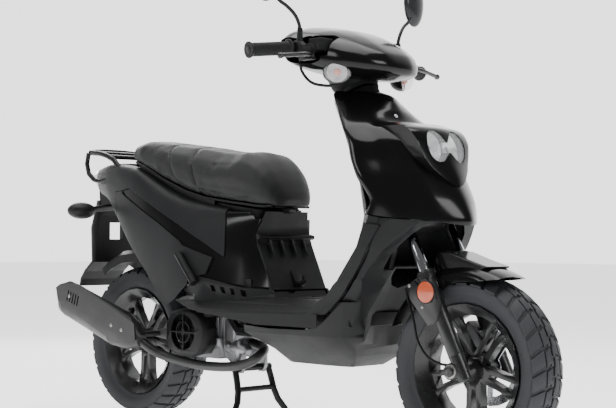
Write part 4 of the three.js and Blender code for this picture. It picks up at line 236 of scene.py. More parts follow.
@dataclass(frozen=True)
class GlossPaint(Finish):
    """Coated cover paint with faint orange peel."""

    peel: float = 0.00012

    def detail(self, shader: Shader) -> None:
        """Adds the clear coat, its orange peel and the paint's grain."""
        shader.fixed(Coat_Weight=0.34, Coat_Roughness=0.15, Coat_IOR=1.5, Specular_IOR_Level=0.1)
        shader.bump((shader.noise(160, 2), self.peel), (shader.noise(2500), 0.00001))


@dataclass(frozen=True)
class Grained(Finish):
    """Moulded plastic with an even grain."""

    grain: float = 900.0
    depth: float = 0.00018

    def detail(self, shader: Shader) -> None:
        """Adds the moulded grain over shallow waves."""
        shader.fixed(Specular_IOR_Level=0.2)
        shader.bump((shader.noise(30, 2), 0.0006), (shader.cells(self.grain), self.depth))


@dataclass(frozen=True)
class Vinyl(Finish):
    """Seat cover with leather grain, creases and a soft sheen."""

    grain: float = 420.0

    def detail(self, shader: Shader) -> None:
        """Adds grain cells, fine pores and the sheen."""
        shader.fixed(Sheen_Weight=0.03, Sheen_Roughness=0.45, Specular_IOR_Level=0.32)
        cells = shader.cells(self.grain, "SMOOTH_F1")
        shader.bump((shader.noise(26, 3), 0.0005), (cells, 0.0004), (shader.noise(2600, 2), 0.0001))


@dataclass(frozen=True)
class Cast(Finish):
    """Sand- or die-cast alloy with a pebbled skin."""

    pebble: float = 700.0
    depth: float = 0.00025

    def detail(self, shader: Shader) -> None:
        """Adds the pebbled skin."""
        shader.bump((shader.noise(self.pebble, 4), self.depth), (shader.noise(60, 2), 0.0005))


@dataclass(frozen=True)
class Plated(Finish):
    """Bright plate with faint polishing waves."""

    def detail(self, shader: Shader) -> None:
        """Adds the polishing waves."""
        shader.bump((shader.noise(120, 2), 0.00003))


@dataclass(frozen=True)
class Turned(Finish):
    """Ground steel with rings about a line along Y."""

    centre: Point = (0, 0, 0)

    def detail(self, shader: Shader) -> None:
        """Adds the grinding rings."""
        shader.bump((shader.rings(self.centre, 260.0), 0.00008))


@dataclass(frozen=True)
class Tyre(Finish):
    """Tyre rubber, greyer where it is dusty, with fine moulding rings on its walls."""

    centre: Point = (0, 0, 0)

    def detail(self, shader: Shader) -> None:
        """Adds the moulding rings and a dull skin."""
        shader.fixed(Specular_IOR_Level=0.35)
        rings = shader.rings(self.centre, 95.0)
        shader.bump((rings, 0.0002), (shader.noise(1400, 3), 0.00015))


@dataclass(frozen=True)
class Lens(Finish):
    """Clear or tinted moulding that passes light, fluted inside."""

    passing: float = 1.0
    flutes: float = 0.0

    def detail(self, shader: Shader) -> None:
        """Adds the light's passage and the flutes."""
        shader.fixed(Alpha=1.0 - 0.86 * self.passing, IOR=1.45, Coat_Weight=1.0, Coat_Roughness=0.02)
        layers = [(shader.noise(40, 1), 0.0003)]
        if self.flutes:
            wave = shader.tree.nodes.new("ShaderNodeTexWave")
            wave.bands_direction = "Z"
            wave.inputs["Scale"].default_value = self.flutes
            shader.tree.links.new(shader.coords, wave.inputs["Vector"])
            layers.append((wave.outputs["Fac"], 0.0004))
        shader.bump(*layers)


FRONT_AXLE: Point = (0.6782, 0.0, 0.236)
REAR_AXLE: Point = (-0.6418, 0.0, 0.240)

FINISHES: dict[str, Finish] = {
    f.name: f
    for f in (
        GlossPaint("gloss_black", (0.003, 0.003, 0.0034), (0.0045, 0.0045, 0.005), 0.16, 0.04),
        Grained("charcoal", (0.0065, 0.0067, 0.0074), (0.0092, 0.0094, 0.0104), 0.42, 0.05),
        Grained("matte_grey", (0.0062, 0.0064, 0.007), (0.009, 0.0092, 0.01), 0.48, 0.05),
        Vinyl("vinyl", (0.0078, 0.008, 0.0088), (0.0108, 0.011, 0.012), 0.54, 0.04),
        Grained("black_steel", (0.006, 0.006, 0.0065), (0.01, 0.01, 0.011), 0.34, 0.06, 0.0, 14, 1600, 0.00006),
        Plated("chrome", (0.62, 0.63, 0.65), (0.56, 0.57, 0.6), 0.09, 0.03, 1.0),
        Cast("silver_alloy", (0.3, 0.3, 0.31), (0.2, 0.2, 0.205), 0.42, 0.1, 0.9),
        Cast("black_alloy", (0.008, 0.008, 0.0085), (0.013, 0.013, 0.014), 0.3, 0.06, 0.0, 14, 900, 0.00012),
        Turned("steel_disc", (0.42, 0.43, 0.44), (0.3, 0.31, 0.32), 0.28, 0.06, 1.0, 14, FRONT_AXLE),
        Grained("rubber", (0.009, 0.009, 0.0095), (0.014, 0.014, 0.015), 0.55, 0.06, 0.0, 14, 1500, 0.0001),
        Tyre("tyre", (0.02, 0.021, 0.024), (0.034, 0.036, 0.041), 0.62, 0.08, 0.0, 9, FRONT_AXLE),
        Lens("clear_lens", (0.95, 0.96, 0.97), (0.9, 0.92, 0.94), 0.03, 0.02),
        Lens("red_lens", (0.26, 0.004, 0.005), (0.2, 0.003, 0.004), 0.12, 0.03, 0.0, 14, 0.1, 60),
        Grained("inner_plastic", (0.006, 0.006, 0.0065), (0.01, 0.01, 0.011), 0.42, 0.06),
        Lens("amber", (0.75, 0.11, 0.005), (0.66, 0.09, 0.004), 0.1, 0.03, 0.0, 14, 0.15, 45),
        Plated("mirror_glass", (0.75, 0.76, 0.78), (0.72, 0.73, 0.75), 0.03, 0.01, 1.0),
        Plated("reflector", (0.92, 0.92, 0.93), (0.84, 0.84, 0.86), 0.3, 0.08, 0.55),
        Cast("zinc", (0.36, 0.36, 0.34), (0.24, 0.235, 0.22), 0.36, 0.1, 1.0),
        Grained("cable_sleeve", (0.007, 0.007, 0.007), (0.012, 0.012, 0.012), 0.45, 0.05, 0.0, 14, 600, 0.0001),
        Lens("amber_reflex", (0.52, 0.062, 0.003), (0.44, 0.05, 0.002), 0.1, 0.03, 0.0, 14, 0.0, 120),
        GlossPaint("mirror_back", (0.02, 0.021, 0.023), (0.028, 0.029, 0.031), 0.22, 0.05),
        Cast("exhaust_black", (0.012, 0.012, 0.0125), (0.018, 0.018, 0.0185), 0.46, 0.08, 0.0, 14, 1200, 0.00012),
    )
}


class Palette:
    """Builds each finish once."""

    def __init__(self) -> None:
        """Starts with nothing built."""
        self.made: dict[str, bpy.types.Material] = {}

    def get(self, name: str) -> bpy.types.Material:
        """The material of a finish, built at its first use."""
        if name not in self.made:
            self.made[name] = FINISHES[name].build()
        return self.made[name]


def heading(axis: Vector | Axis) -> Vector:
    """A direction as a vector."""
    return Vector(axis.value) if isinstance(axis, Axis) else Vector(axis)


class Workshop:
    """Modelling by operators, and the dressing of what they leave."""

    def __init__(self, frame: dict) -> None:
        """Keeps the loaded frame and the palette."""
        self.frame = frame
        self.palette = Palette()
        self.slots = {s["node"]: s["material_slot"] for s in frame["record"]["subparts"]}

    def alone(self, obj: bpy.types.Object) -> bpy.types.Object:
        """Deselects everything and makes obj the only selected and active object; returns it."""
        bpy.ops.object.select_all(action="DESELECT")
        obj.select_set(True)
        bpy.context.view_layer.objects.active = obj
        return obj

    def edit(self, obj: bpy.types.Object, mode: str = "FACE") -> None:
        """Enters edit mode on obj alone, with all of it selected."""
        self.alone(obj)
        bpy.ops.object.mode_set(mode="EDIT")
        bpy.ops.mesh.select_mode(type=mode)
        bpy.ops.mesh.select_all(action="SELECT")

    def leave(self) -> None:
        """Goes back to object mode."""
        bpy.ops.object.mode_set(mode="OBJECT")

    def modify(self, obj: bpy.types.Object, kind: str, **settings: object) -> bpy.types.Object:
        """Adds a modifier with its settings and applies it; returns obj."""
        self.alone(obj)
        modifier = obj.modifiers.new(kind.lower(), kind)
        for name, value in settings.items():
            setattr(modifier, name, value)
        bpy.ops.object.modifier_apply(modifier=modifier.name)
        return obj

    def linked(self, name: str, data: bpy.types.ID) -> bpy.types.Object:
        """A new object with a mesh or curve as its data, linked to the scene."""
        obj = bpy.data.objects.new(name, data)
        bpy.context.scene.collection.objects.link(obj)
        return obj

    def named(self, obj: bpy.types.Object, name: str) -> bpy.types.Object:
        """Gives obj and its mesh one name; returns obj."""
        obj.name = obj.data.name = name
        return obj

    def settle(self, obj: bpy.types.Object, name: str) -> bpy.types.Object:
        """Names obj and moves its place, turn and scale into its mesh; returns it."""
        self.alone(obj)
        bpy.ops.object.transform_apply(location=True, rotation=True, scale=True)
        return self.named(obj, name)

    def smooth(self, obj: bpy.types.Object, degrees: float = 35.0) -> bpy.types.Object:
        """Shades obj smooth up to an angle between faces; returns it."""
        self.alone(obj)
        bpy.ops.object.shade_smooth_by_angle(angle=math.radians(degrees))
        return obj

    def outward(self, obj: bpy.types.Object) -> bpy.types.Object:
        """Turns every face of a closed mesh outward; returns it."""
        self.edit(obj)
        bpy.ops.mesh.normals_make_consistent(inside=False)
        self.leave()
        return obj

    def shell(self, name: str, points: list, faces: list) -> bpy.types.Object:
        """A mesh object from points and faces, linked to the scene."""
        mesh = bpy.data.meshes.new(name)
        mesh.from_pydata([tuple(p) for p in points], [], faces)
        mesh.validate()
        return self.linked(name, mesh)

    def cylinder(self, name: str, radius: float, depth: float, centre: Point, axis: Vector | Axis,
                 sides: int = 48, bevel: float = 0.0008) -> bpy.types.Object:
        """A turned blank with bevelled rims.

        Args:
            name: the piece's name.
            radius: outer radius.
            depth: length along axis.
            centre: middle of the length.
            axis: direction that it stands along.
            sides: facets round it.
            bevel: width of the broken edges.

        Returns:
            The settled object.
        """
        bpy.ops.object.select_all(action="DESELECT")
        turn = heading(axis).to_track_quat("Z", "Y").to_euler()
        bpy.ops.mesh.primitive_cylinder_add(vertices=sides, radius=radius, depth=depth, location=centre, rotation=turn)
        obj = self.settle(bpy.context.active_object, name)
        if bevel:
            self.modify(obj, "BEVEL", width=bevel, segments=2, limit_method="ANGLE",
                        angle_limit=math.radians(50))
        return self.smooth(obj)

    def lathe(self, name: str, profile: list, centre: Point, axis: Vector | Axis = Axis.Y,
              steps: int = 96, smooth: float = 30.0) -> bpy.types.Object:
        """A profile spun about a line.

        Args:
            name: the piece's name.
            profile: (radius, place along the axis) pairs, from end to end or closed on itself.
            centre: a point on the line, from which places along it are counted.
            axis: direction of the line.
            steps: facets round it.
            smooth: angle up to which it is shaded smooth.

        Returns:
            The spun object, with its normals outside.
        """
        direction = heading(axis).normalized()
        aside = direction.orthogonal().normalized()
        start = Vector(centre)
        points = [start + direction * a + aside * r for r, a in profile]
        obj = self.shell(name, points, [])
        obj.data.edges.add(len(points) - 1)
        for i, edge in enumerate(obj.data.edges):
            edge.vertices = (i, i + 1)
        self.edit(obj, "VERT")
        bpy.ops.mesh.spin(steps=steps, angle=math.tau, center=start, axis=direction)
        bpy.ops.mesh.select_all(action="SELECT")
        bpy.ops.mesh.remove_doubles(threshold=0.00002)
        bpy.ops.mesh.normals_make_consistent(inside=False)
        self.leave()
        return self.smooth(obj, smooth)

    def tube(self, name: str, points: list, radius: float, sides: int = 6) -> bpy.types.Object:
        """A round rod or sleeve along smooth points, made a mesh; returns it."""
        curve = bpy.data.curves.new(name, "CURVE")
        curve.dimensions = "3D"
        curve.bevel_depth = radius
        curve.bevel_resolution = sides
        curve.use_fill_caps = True
        curve.resolution_u = 8
        spline = curve.splines.new("NURBS")
        spline.points.add(len(points) - 1)
        for knot, point in zip(spline.points, points):
            knot.co = (*point, 1)
        spline.order_u = 3
        spline.use_endpoint_u = True
        self.alone(self.linked(name, curve))
        bpy.ops.object.convert(target="MESH")
        return self.smooth(self.settle(bpy.context.active_object, name), 50)

    def ball(self, name: str, centre: Point, radii: Point, turn: Point = (0, 0, 0)) -> bpy.types.Object:
        """An egg-shaped blank; returns it settled."""
        bpy.ops.object.select_all(action="DESELECT")
        bpy.ops.mesh.primitive_uv_sphere_add(segments=40, ring_count=24, radius=1, location=centre, rotation=turn)
        obj = bpy.context.active_object
        obj.scale = radii
        return self.smooth(self.settle(obj, name), 60)

    def block(self, name: str, size: Point, centre: Point, turn: Point = (0, 0, 0),
              bevel: float = 0.001) -> bpy.types.Object:
        """A block with broken edges; returns it settled."""
        bpy.ops.object.select_all(action="DESELECT")
        bpy.ops.mesh.primitive_cube_add(size=1, location=centre, rotation=turn, scale=size)
        obj = self.settle(bpy.context.active_object, name)
        if bevel:
            self.modify(obj, "BEVEL", width=bevel, segments=3, limit_method="ANGLE",
                        angle_limit=math.radians(30))
        return self.smooth(obj)

    def carve(self, obj: bpy.types.Object, cutter: bpy.types.Object, how: str = "DIFFERENCE") -> bpy.types.Object:
        """Cuts, joins or crosses obj with cutter, which is then removed; returns obj."""
        self.modify(obj, "BOOLEAN", object=cutter, operation=how, solver="MANIFOLD")
        bpy.data.objects.remove(cutter)
        return obj

    def joined(self, name: str, pieces: list) -> bpy.types.Object:
        """Joins several objects into one piece; returns it."""
        bpy.ops.object.select_all(action="DESELECT")
        for piece in pieces:
            piece.select_set(True)
        bpy.context.view_layer.objects.active = pieces[0]
        bpy.ops.object.join()
        return self.named(bpy.context.active_object, name)

    def copied(self, obj: bpy.types.Object, name: str, matrix: Matrix | None = None) -> bpy.types.Object:
        """A copy of obj with its own mesh, moved by matrix where one is given; returns it."""
        twin = obj.copy()
        twin.data = obj.data.copy()
        if matrix:
            twin.data.transform(matrix)
        bpy.context.scene.collection.objects.link(twin)
        return self.named(twin, name)

    def dress(self, obj: bpy.types.Object, body: str, finish: str, replaces: tuple = ()) -> bpy.types.Object:
        """Gives obj its finish and body.

        Args:
            obj: the finished piece.
            body: name of the body that it rides on.
            finish: name of its finish.
            replaces: CAD nodes that it stands for.

        Returns:
            The piece.
        """
        obj.data.materials.clear()
        obj.data.materials.append(self.palette.get(finish))
        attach(obj, body)
        if replaces:
            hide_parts(*replaces)
        LOG.info("%s rides on %s in %s", obj.name, body, finish)
        return obj

    def body_of(self, node: str) -> str:
        """Name of the body that a CAD node rides on."""
        bodies = self.frame["record"]["behaviour"]["bodies"]
        return next(body for body, nodes in bodies.items() if node in nodes)

    def merged(self, node: str, name: str, near: float) -> bpy.types.Object:
        """A copy of a CAD node, called name, with points nearer than a distance merged; returns it."""
        obj = self.linked(name, self.frame["nodes"][node].data.copy())
        self.edit(obj, "VERT")
        bpy.ops.mesh.remove_doubles(threshold=near)
        self.leave()
        return obj

    def skin(self, node: str, finish: str | None = None, degrees: float = 32.0) -> bpy.types.Object:
        """A smooth-shaded copy of a CAD node, with its doubles merged, that stands for it; returns it."""
        obj = self.merged(node, f"{node}.skin", 0.00001)
        self.smooth(obj, degrees)
        self.modify(obj, "WEIGHTED_NORMAL", keep_sharp=True)
        return self.dress(obj, self.body_of(node), finish or self.slots[node], (node,))


LENGTH, HALF, HEIGHT = 1.5, 0.2, 1.0
SHIFT = 0.0182
STEER_FOOT = Vector((0.63315 + SHIFT, 0, 0.22261))
STEER_UP = Vector((-0.44620, 0, 0.89493))
AHEAD = Vector((0.89493, 0, 0.44620))
SIDES = ((-1, "right"), (1, "left"))


def spot(x: float, y: float, z: float) -> Vector:
    """The point at shares of the body's length, half width and height."""
    return Vector((x * LENGTH + SHIFT, y * HALF, z * HEIGHT))


def on_axis(height: float) -> Vector:
    """The point of the steering axis at a height along it."""
    return STEER_FOOT + STEER_UP * height


def taller(centre: Vector, factor: float) -> Matrix:
    """Stretches heights about centre by a factor."""
    return Matrix.Translation(centre) @ Matrix.Diagonal((1, 1, factor, 1)) @ Matrix.Translation(-centre)


def signal_centre(side: int) -> Vector:
    """Middle of the front direction signal on one side."""
    return spot(0.1973, side * 0.66, 1.006)


def grip_ends(side: int) -> tuple[Vector, Vector]:
    """Inner and outer end of the grip on one side."""
    return spot(0.1367, side * 1.1, 1.07), spot(0.12, side * 1.725, 1.055)


def side_points(shares: list) -> list:
    """Side-view points in metres from shares of length and height."""
    return [(x * LENGTH + SHIFT, z * HEIGHT) for x, z in shares]


def hermite(a: Vector, b: Vector, c: Vector, d: Vector, t: float, pull: float = 0.4) -> Vector:
    """The point at t between b and c on a smooth curve through a, b, c and d."""
    m, n = (c - a) * pull, (d - b) * pull
    return ((2 * t ** 3 - 3 * t ** 2 + 1) * b + (t ** 3 - 2 * t ** 2 + t) * m
            + (3 * t ** 2 - 2 * t ** 3) * c + (t ** 3 - t ** 2) * n)


def smooth_line(points: list, count: int, closed: bool = False) -> list:
    """Resamples a smooth line through points.

    Args:
        points: the points that it passes through.
        count: how many points come back.
        closed: whether it runs back to its first point.

    Returns:
        The resampled points.
    """
    number = len(points)
    spans = number if closed else number - 1
    result = []
    for i in range(count):
        place = spans * i / (count if closed else count - 1)
        k = min(int(place), spans - 1)
        if closed:
            four = [points[(k + j) % number] for j in (-1, 0, 1, 2)]
        else:
            first = points[k - 1] if k > 0 else points[0] * 2 - points[1]
            last = points[k + 2] if k + 2 < number else points[-1] * 2 - points[-2]
            four = [first, points[k], points[k + 1], last]
        result.append(hermite(*four, place - k))
    return result


class Loft:
    """Closed loops on a smooth form, as a grid of points that can be drawn in and made solid."""

    def __init__(self, stations: list, rings: int, count: int, normal: Vector) -> None:
        """Makes the grid.

        Args:
            stations: loops of control points.
            rings: how many loops the grid has.
            count: points on each loop.
            normal: direction that the loops face.
        """
        loops = [smooth_line(points, count, True) for points in stations]
        rails = [smooth_line([loop[j] for loop in loops], rings) for j in range(count)]
        self.grid = [[rail[i] for rail in rails] for i in range(rings)]
        self.normal = normal

    def inset(self, depth: object, start: float = 0.0, stop: float = 0.0) -> list:
        """The grid drawn in.

        Args:
            depth: a distance, or a function that gives it from a point.
            start: how far the first loop is moved along the normal.
            stop: how far the last loop is moved along the normal.

        Returns:
            The rows of points.
        """
        rows = []
        for i, ring in enumerate(self.grid):
            move = self.normal * ((start if i == 0 else 0) + (stop if i == len(self.grid) - 1 else 0))
            row = []
            for j, point in enumerate(ring):
                along = (ring[(j + 1) % len(ring)] - ring[j - 1]).normalized()
                far = depth(point) if callable(depth) else depth
                row.append(point + self.normal.cross(along) * far + move)
            rows.append(row)
        return rows

    def solid(self, shop: "Workshop", name: str, depth: object = 0.0, start: float = 0.0,
              stop: float = 0.0) -> bpy.types.Object:
        """A closed body over the drawn-in grid."""
        rows = self.inset(depth, start, stop)
        count = len(rows[0])
        faces = [(i * count + j, i * count + (j + 1) % count, (i + 1) * count + (j + 1) % count, (i + 1) * count + j)
                 for i in range(len(rows) - 1) for j in range(count)]
        faces.append(tuple(range(count - 1, -1, -1)))
        faces.append(tuple(range((len(rows) - 1) * count, len(rows) * count)))
        return shop.outward(shop.shell(name, [p for row in rows for p in row], faces))


SHIELD_SHARES = [
    (0.366, (0.1433, 0), (0.15, 0.45), (0.1747, 1.03), (0.22, 0.95), (0.2667, 0.6), (0.28, 0)),
    (0.42, (0.19, 0), (0.1947, 0.45), (0.2253, 1.04), (0.2733, 0.9), (0.32, 0.55), (0.3467, 0)),
    (0.5, (0.22, 0), (0.2253, 0.46), (0.272, 1.03), (0.32, 0.84), (0.3633, 0.525), (0.39, 0)),
    (0.55, (0.232, 0), (0.2373, 0.46), (0.2907, 1.01), (0.3367, 0.8), (0.3833, 0.475), (0.408, 0)),
    (0.606, (0.24, 0), (0.2453, 0.45), (0.3, 0.985), (0.3533, 0.76), (0.4, 0.4), (0.4267, 0)),
    (0.66, (0.2347, 0), (0.2413, 0.44), (0.312, 0.95), (0.35, 0.76), (0.3947, 0.4), (0.4147, 0)),
    (0.72, (0.22, 0), (0.228, 0.41), (0.2893, 1.0), (0.328, 0.79), (0.3733, 0.425), (0.392, 0)),
    (0.77, (0.2033, 0), (0.212, 0.39), (0.272, 0.98), (0.3107, 0.74), (0.352, 0.45), (0.3653, 0)),
    (0.815, (0.1867, 0), (0.196, 0.37), (0.2613, 0.95), (0.2987, 0.71), (0.3367, 0.46), (0.3453, 0)),
    (0.85, (0.1747, 0), (0.184, 0.36), (0.244, 0.91), (0.2793, 0.67), (0.3133, 0.425), (0.325, 0)),
    (0.868, (0.168, 0), (0.1773, 0.35), (0.2333, 0.86), (0.268, 0.62), (0.28, 0.35), (0.2833, 0)),
    (0.905, (0.1547, 0), (0.164, 0.32), (0.208, 0.76), (0.238, 0.53), (0.258, 0.3), (0.268, 0)),
    (0.945, (0.1413, 0), (0.148, 0.3), (0.1873, 0.66), (0.207, 0.46), (0.2293, 0.26), (0.247, 0)),
    (0.96, (0.1413, 0), (0.1453, 0.26), (0.178, 0.56), (0.196, 0.38), (0.2113, 0.22), (0.2227, 0)),
]
FAIRING_SHARES = [
    (0.2967, 0.629), (0.34, 0.618), (0.3733, 0.613), (0.4, 0.606), (0.45, 0.588), (0.47, 0.7), (0.42, 0.99),
    (0.16, 0.99), (0.1827, 0.958), (0.1893, 0.945), (0.2127, 0.905), (0.2333, 0.868), (0.2413, 0.85),
    (0.2573, 0.815), (0.268, 0.77), (0.2853, 0.72), (0.305, 0.67), (0.307, 0.65),
]
POD_SHARES = [
    (0, 0.697), (0.1, 0.702), (0.2, 0.714), (0.35, 0.741), (0.45, 0.772), (0.5, 0.8), (0.545, 0.835),
    (0.565, 0.856), (0.55, 0.864), (0.4, 0.866), (0.2, 0.866), (0, 0.866),
]
MIRROR_STEM_SHARES = [
    (0.148, 0.99, 1.1145), (0.148, 0.9925, 1.122), (0.148, 0.996, 1.132), (0.1467, 1.06, 1.158),
    (0.1413, 1.18, 1.18), (0.1385, 1.27, 1.189), (0.136, 1.34, 1.2), (0.132, 1.42, 1.222), (0.13, 1.45, 1.235),
]
BODY_SHARES = [
    (-0.5733, 0.795, 0.275, 0.36, 0.77, 0.3, 0.735), (-0.5333, 0.8, 0.425, 0.49, 0.762, 0.44, 0.712),
    (-0.48, 0.806, 0.56, 0.64, 0.752, 0.6, 0.69), (-0.4267, 0.8, 0.625, 0.725, 0.73, 0.7, 0.622),
    (-0.3733, 0.784, 0.65, 0.79, 0.7, 0.79, 0.54), (-0.32, 0.75, 0.665, 0.84, 0.665, 0.84, 0.46),
    (-0.2667, 0.714, 0.675, 0.87, 0.625, 0.875, 0.39), (-0.2133, 0.686, 0.68, 0.89, 0.59, 0.91, 0.352),
    (-0.16, 0.668, 0.67, 0.88, 0.56, 0.93, 0.352), (-0.1067, 0.655, 0.63, 0.81, 0.53, 0.95, 0.352),
    (-0.0533, 0.65, 0.56, 0.68, 0.52, 0.9, 0.352), (0, 0.644, 0.43, 0.47, 0.5, 0.75, 0.352),
    (0.03, 0.64, 0.36, 0.41, 0.48, 0.68, 0.352), (0.0667, 0.636, 0.3, 0.38, 0.47, 0.6, 0.352),
]
COWL_SIDE_SHARES = [
    (-0.5867, 0.84), (-0.5867, 0.7), (-0.5333, 0.69), (-0.49, 0.686), (-0.4487, 0.65), (-0.4313, 0.625),
    (-0.4313, 0.713), (-0.408, 0.713), (-0.3793, 0.72), (-0.2967, 0.665), (-0.2027, 0.604), (-0.1427, 0.56),
    (-0.084, 0.512), (-0.0913, 0.612), (-0.1007, 0.65), (-0.1007, 0.7), (-0.2933, 0.78),
]
REAR_COVER_SHARES = [
    (-0.43, 0.622), (-0.43, 0.711), (-0.408, 0.711), (-0.4, 0.7), (-0.3467, 0.664), (-0.2667, 0.61), (-0.2, 0.56),
    (-0.16, 0.51), (-0.1667, 0.432), (-0.2067, 0.386), (-0.246, 0.358), (-0.2713, 0.41), (-0.304, 0.463),
    (-0.3533, 0.526), (-0.4107, 0.603),
]
CENTRE_COVER_SHARES = [
    (-0.424, 0.702), (-0.4013, 0.692), (-0.3467, 0.656), (-0.2667, 0.602), (-0.2, 0.552), (-0.1667, 0.512),
    (-0.172, 0.47), (-0.15, 0.45), (-0.0353, 0.432), (0.04, 0.424), (0.06, 0.424), (0.02, 0.5), (0.0053, 0.56),
    (0.008, 0.6), (0.0147, 0.7), (-0.1067, 0.7), (-0.1067, 0.646), (-0.0973, 0.612), (-0.0893, 0.52),
    (-0.1427, 0.569), (-0.2027, 0.612), (-0.2967, 0.673), (-0.3793, 0.728), (-0.4053, 0.72),
]
PANEL_SHARES = [
    (-0.1947, 0.5486), (-0.1078, 0.5095), (-0.1183, 0.4627), (-0.1432, 0.4551), (-0.1601, 0.4427), (-0.2094, 0.5127),
]
TAIL_LAMP_SHARES = [(-0.5867, 0.722), (-0.5867, 0.806), (-0.548, 0.806), (-0.548, 0.722)]
RESERVOIR_SHARES = (0.1747, -0.79, 1.078)
MUDGUARD_SHARES = [
    (0.524, 0.474), (0.5133, 0.464), (0.478, 0.459), (0.436, 0.456), (0.4147, 0.446), (0.38, 0.405),
    (0.3333, 0.35), (0.2907, 0.336), (0.2533, 0.34), (0.2533, 0.56), (0.524, 0.56),
]
CROWN_SHARES = [
    (0.3693, 0.46), (0.372, 0.505), (0.375, 0.518), (0.3793, 0.527), (0.384, 0.532), (0.39, 0.534),
    (0.4, 0.5328), (0.4107, 0.53), (0.4467, 0.512), (0.4887, 0.494), (0.47, 0.482), (0.41, 0.482),
]
CROWN_ROOM_SHARES = [
    (0.35, 0.44), (0.3747, 0.504), (0.3813, 0.523), (0.39, 0.5305), (0.4107, 0.5265), (0.4467, 0.509),
    (0.465, 0.502), (0.44, 0.485), (0.41, 0.45),
]
MUFFLER_RADII = [
    (0.0, 0.012), (0.0, 0.0405), (0.006, 0.044), (0.03, 0.0515), (0.07, 0.0524), (0.075, 0.0536), (0.085, 0.0536),
    (0.09, 0.0528), (0.4, 0.0545), (0.7, 0.0557), (0.72, 0.0559), (0.725, 0.0565), (0.735, 0.0565), (0.74, 0.0552),
    (0.82, 0.0502), (0.9, 0.0438), (0.96, 0.031), (1.0, 0.021), (1.02, 0.0178), (1.02, 0.006),
]
PIPE_SHARES = [
    (-0.34, -0.79, 0.258), (-0.3133, -0.7, 0.226), (-0.288, -0.56, 0.206), (-0.1947, -0.5, 0.188),
    (-0.106, -0.5, 0.192), (-0.06, -0.48, 0.206), (-0.0413, -0.42, 0.224), (-0.0467, -0.25, 0.24),
    (-0.0733, -0.04, 0.246), (-0.1, 0.05, 0.25), (-0.126, 0.07, 0.256),
]
PEDESTAL_SHARES = [
    (-0.0137, 0.66), (-0.0163, 0.64), (-0.0217, 0.605), (-0.025, 0.575), (-0.021, 0.545), (-0.0103, 0.51),
    (0.0017, 0.474), (0.015, 0.43), (0.0317, 0.39), (0.0363, 0.37), (0.0363, 0.34),
]
BAR_COWL_SHARES = [
    (0.074, 1.136), (0.0933, 1.149), (0.1207, 1.148), (0.1713, 1.132), (0.208, 1.11), (0.2393, 1.083),
    (0.2613, 1.056), (0.2707, 1.027), (0.2653, 1.002), (0.2327, 0.99), (0.2, 0.992), (0.1587, 1), (0.11, 1.02),
    (0.08, 1.08),
]
BAR_COWL_STATION_SHARES = [
    (-0.86, 0.5, -0.03), (-0.74, 0.72, -0.016), (-0.5, 0.9, -0.006), (-0.25, 0.98, 0), (0, 1, 0),
    (0.25, 0.98, 0), (0.5, 0.9, -0.006), (0.74, 0.72, -0.016), (0.86, 0.5, -0.03),
]


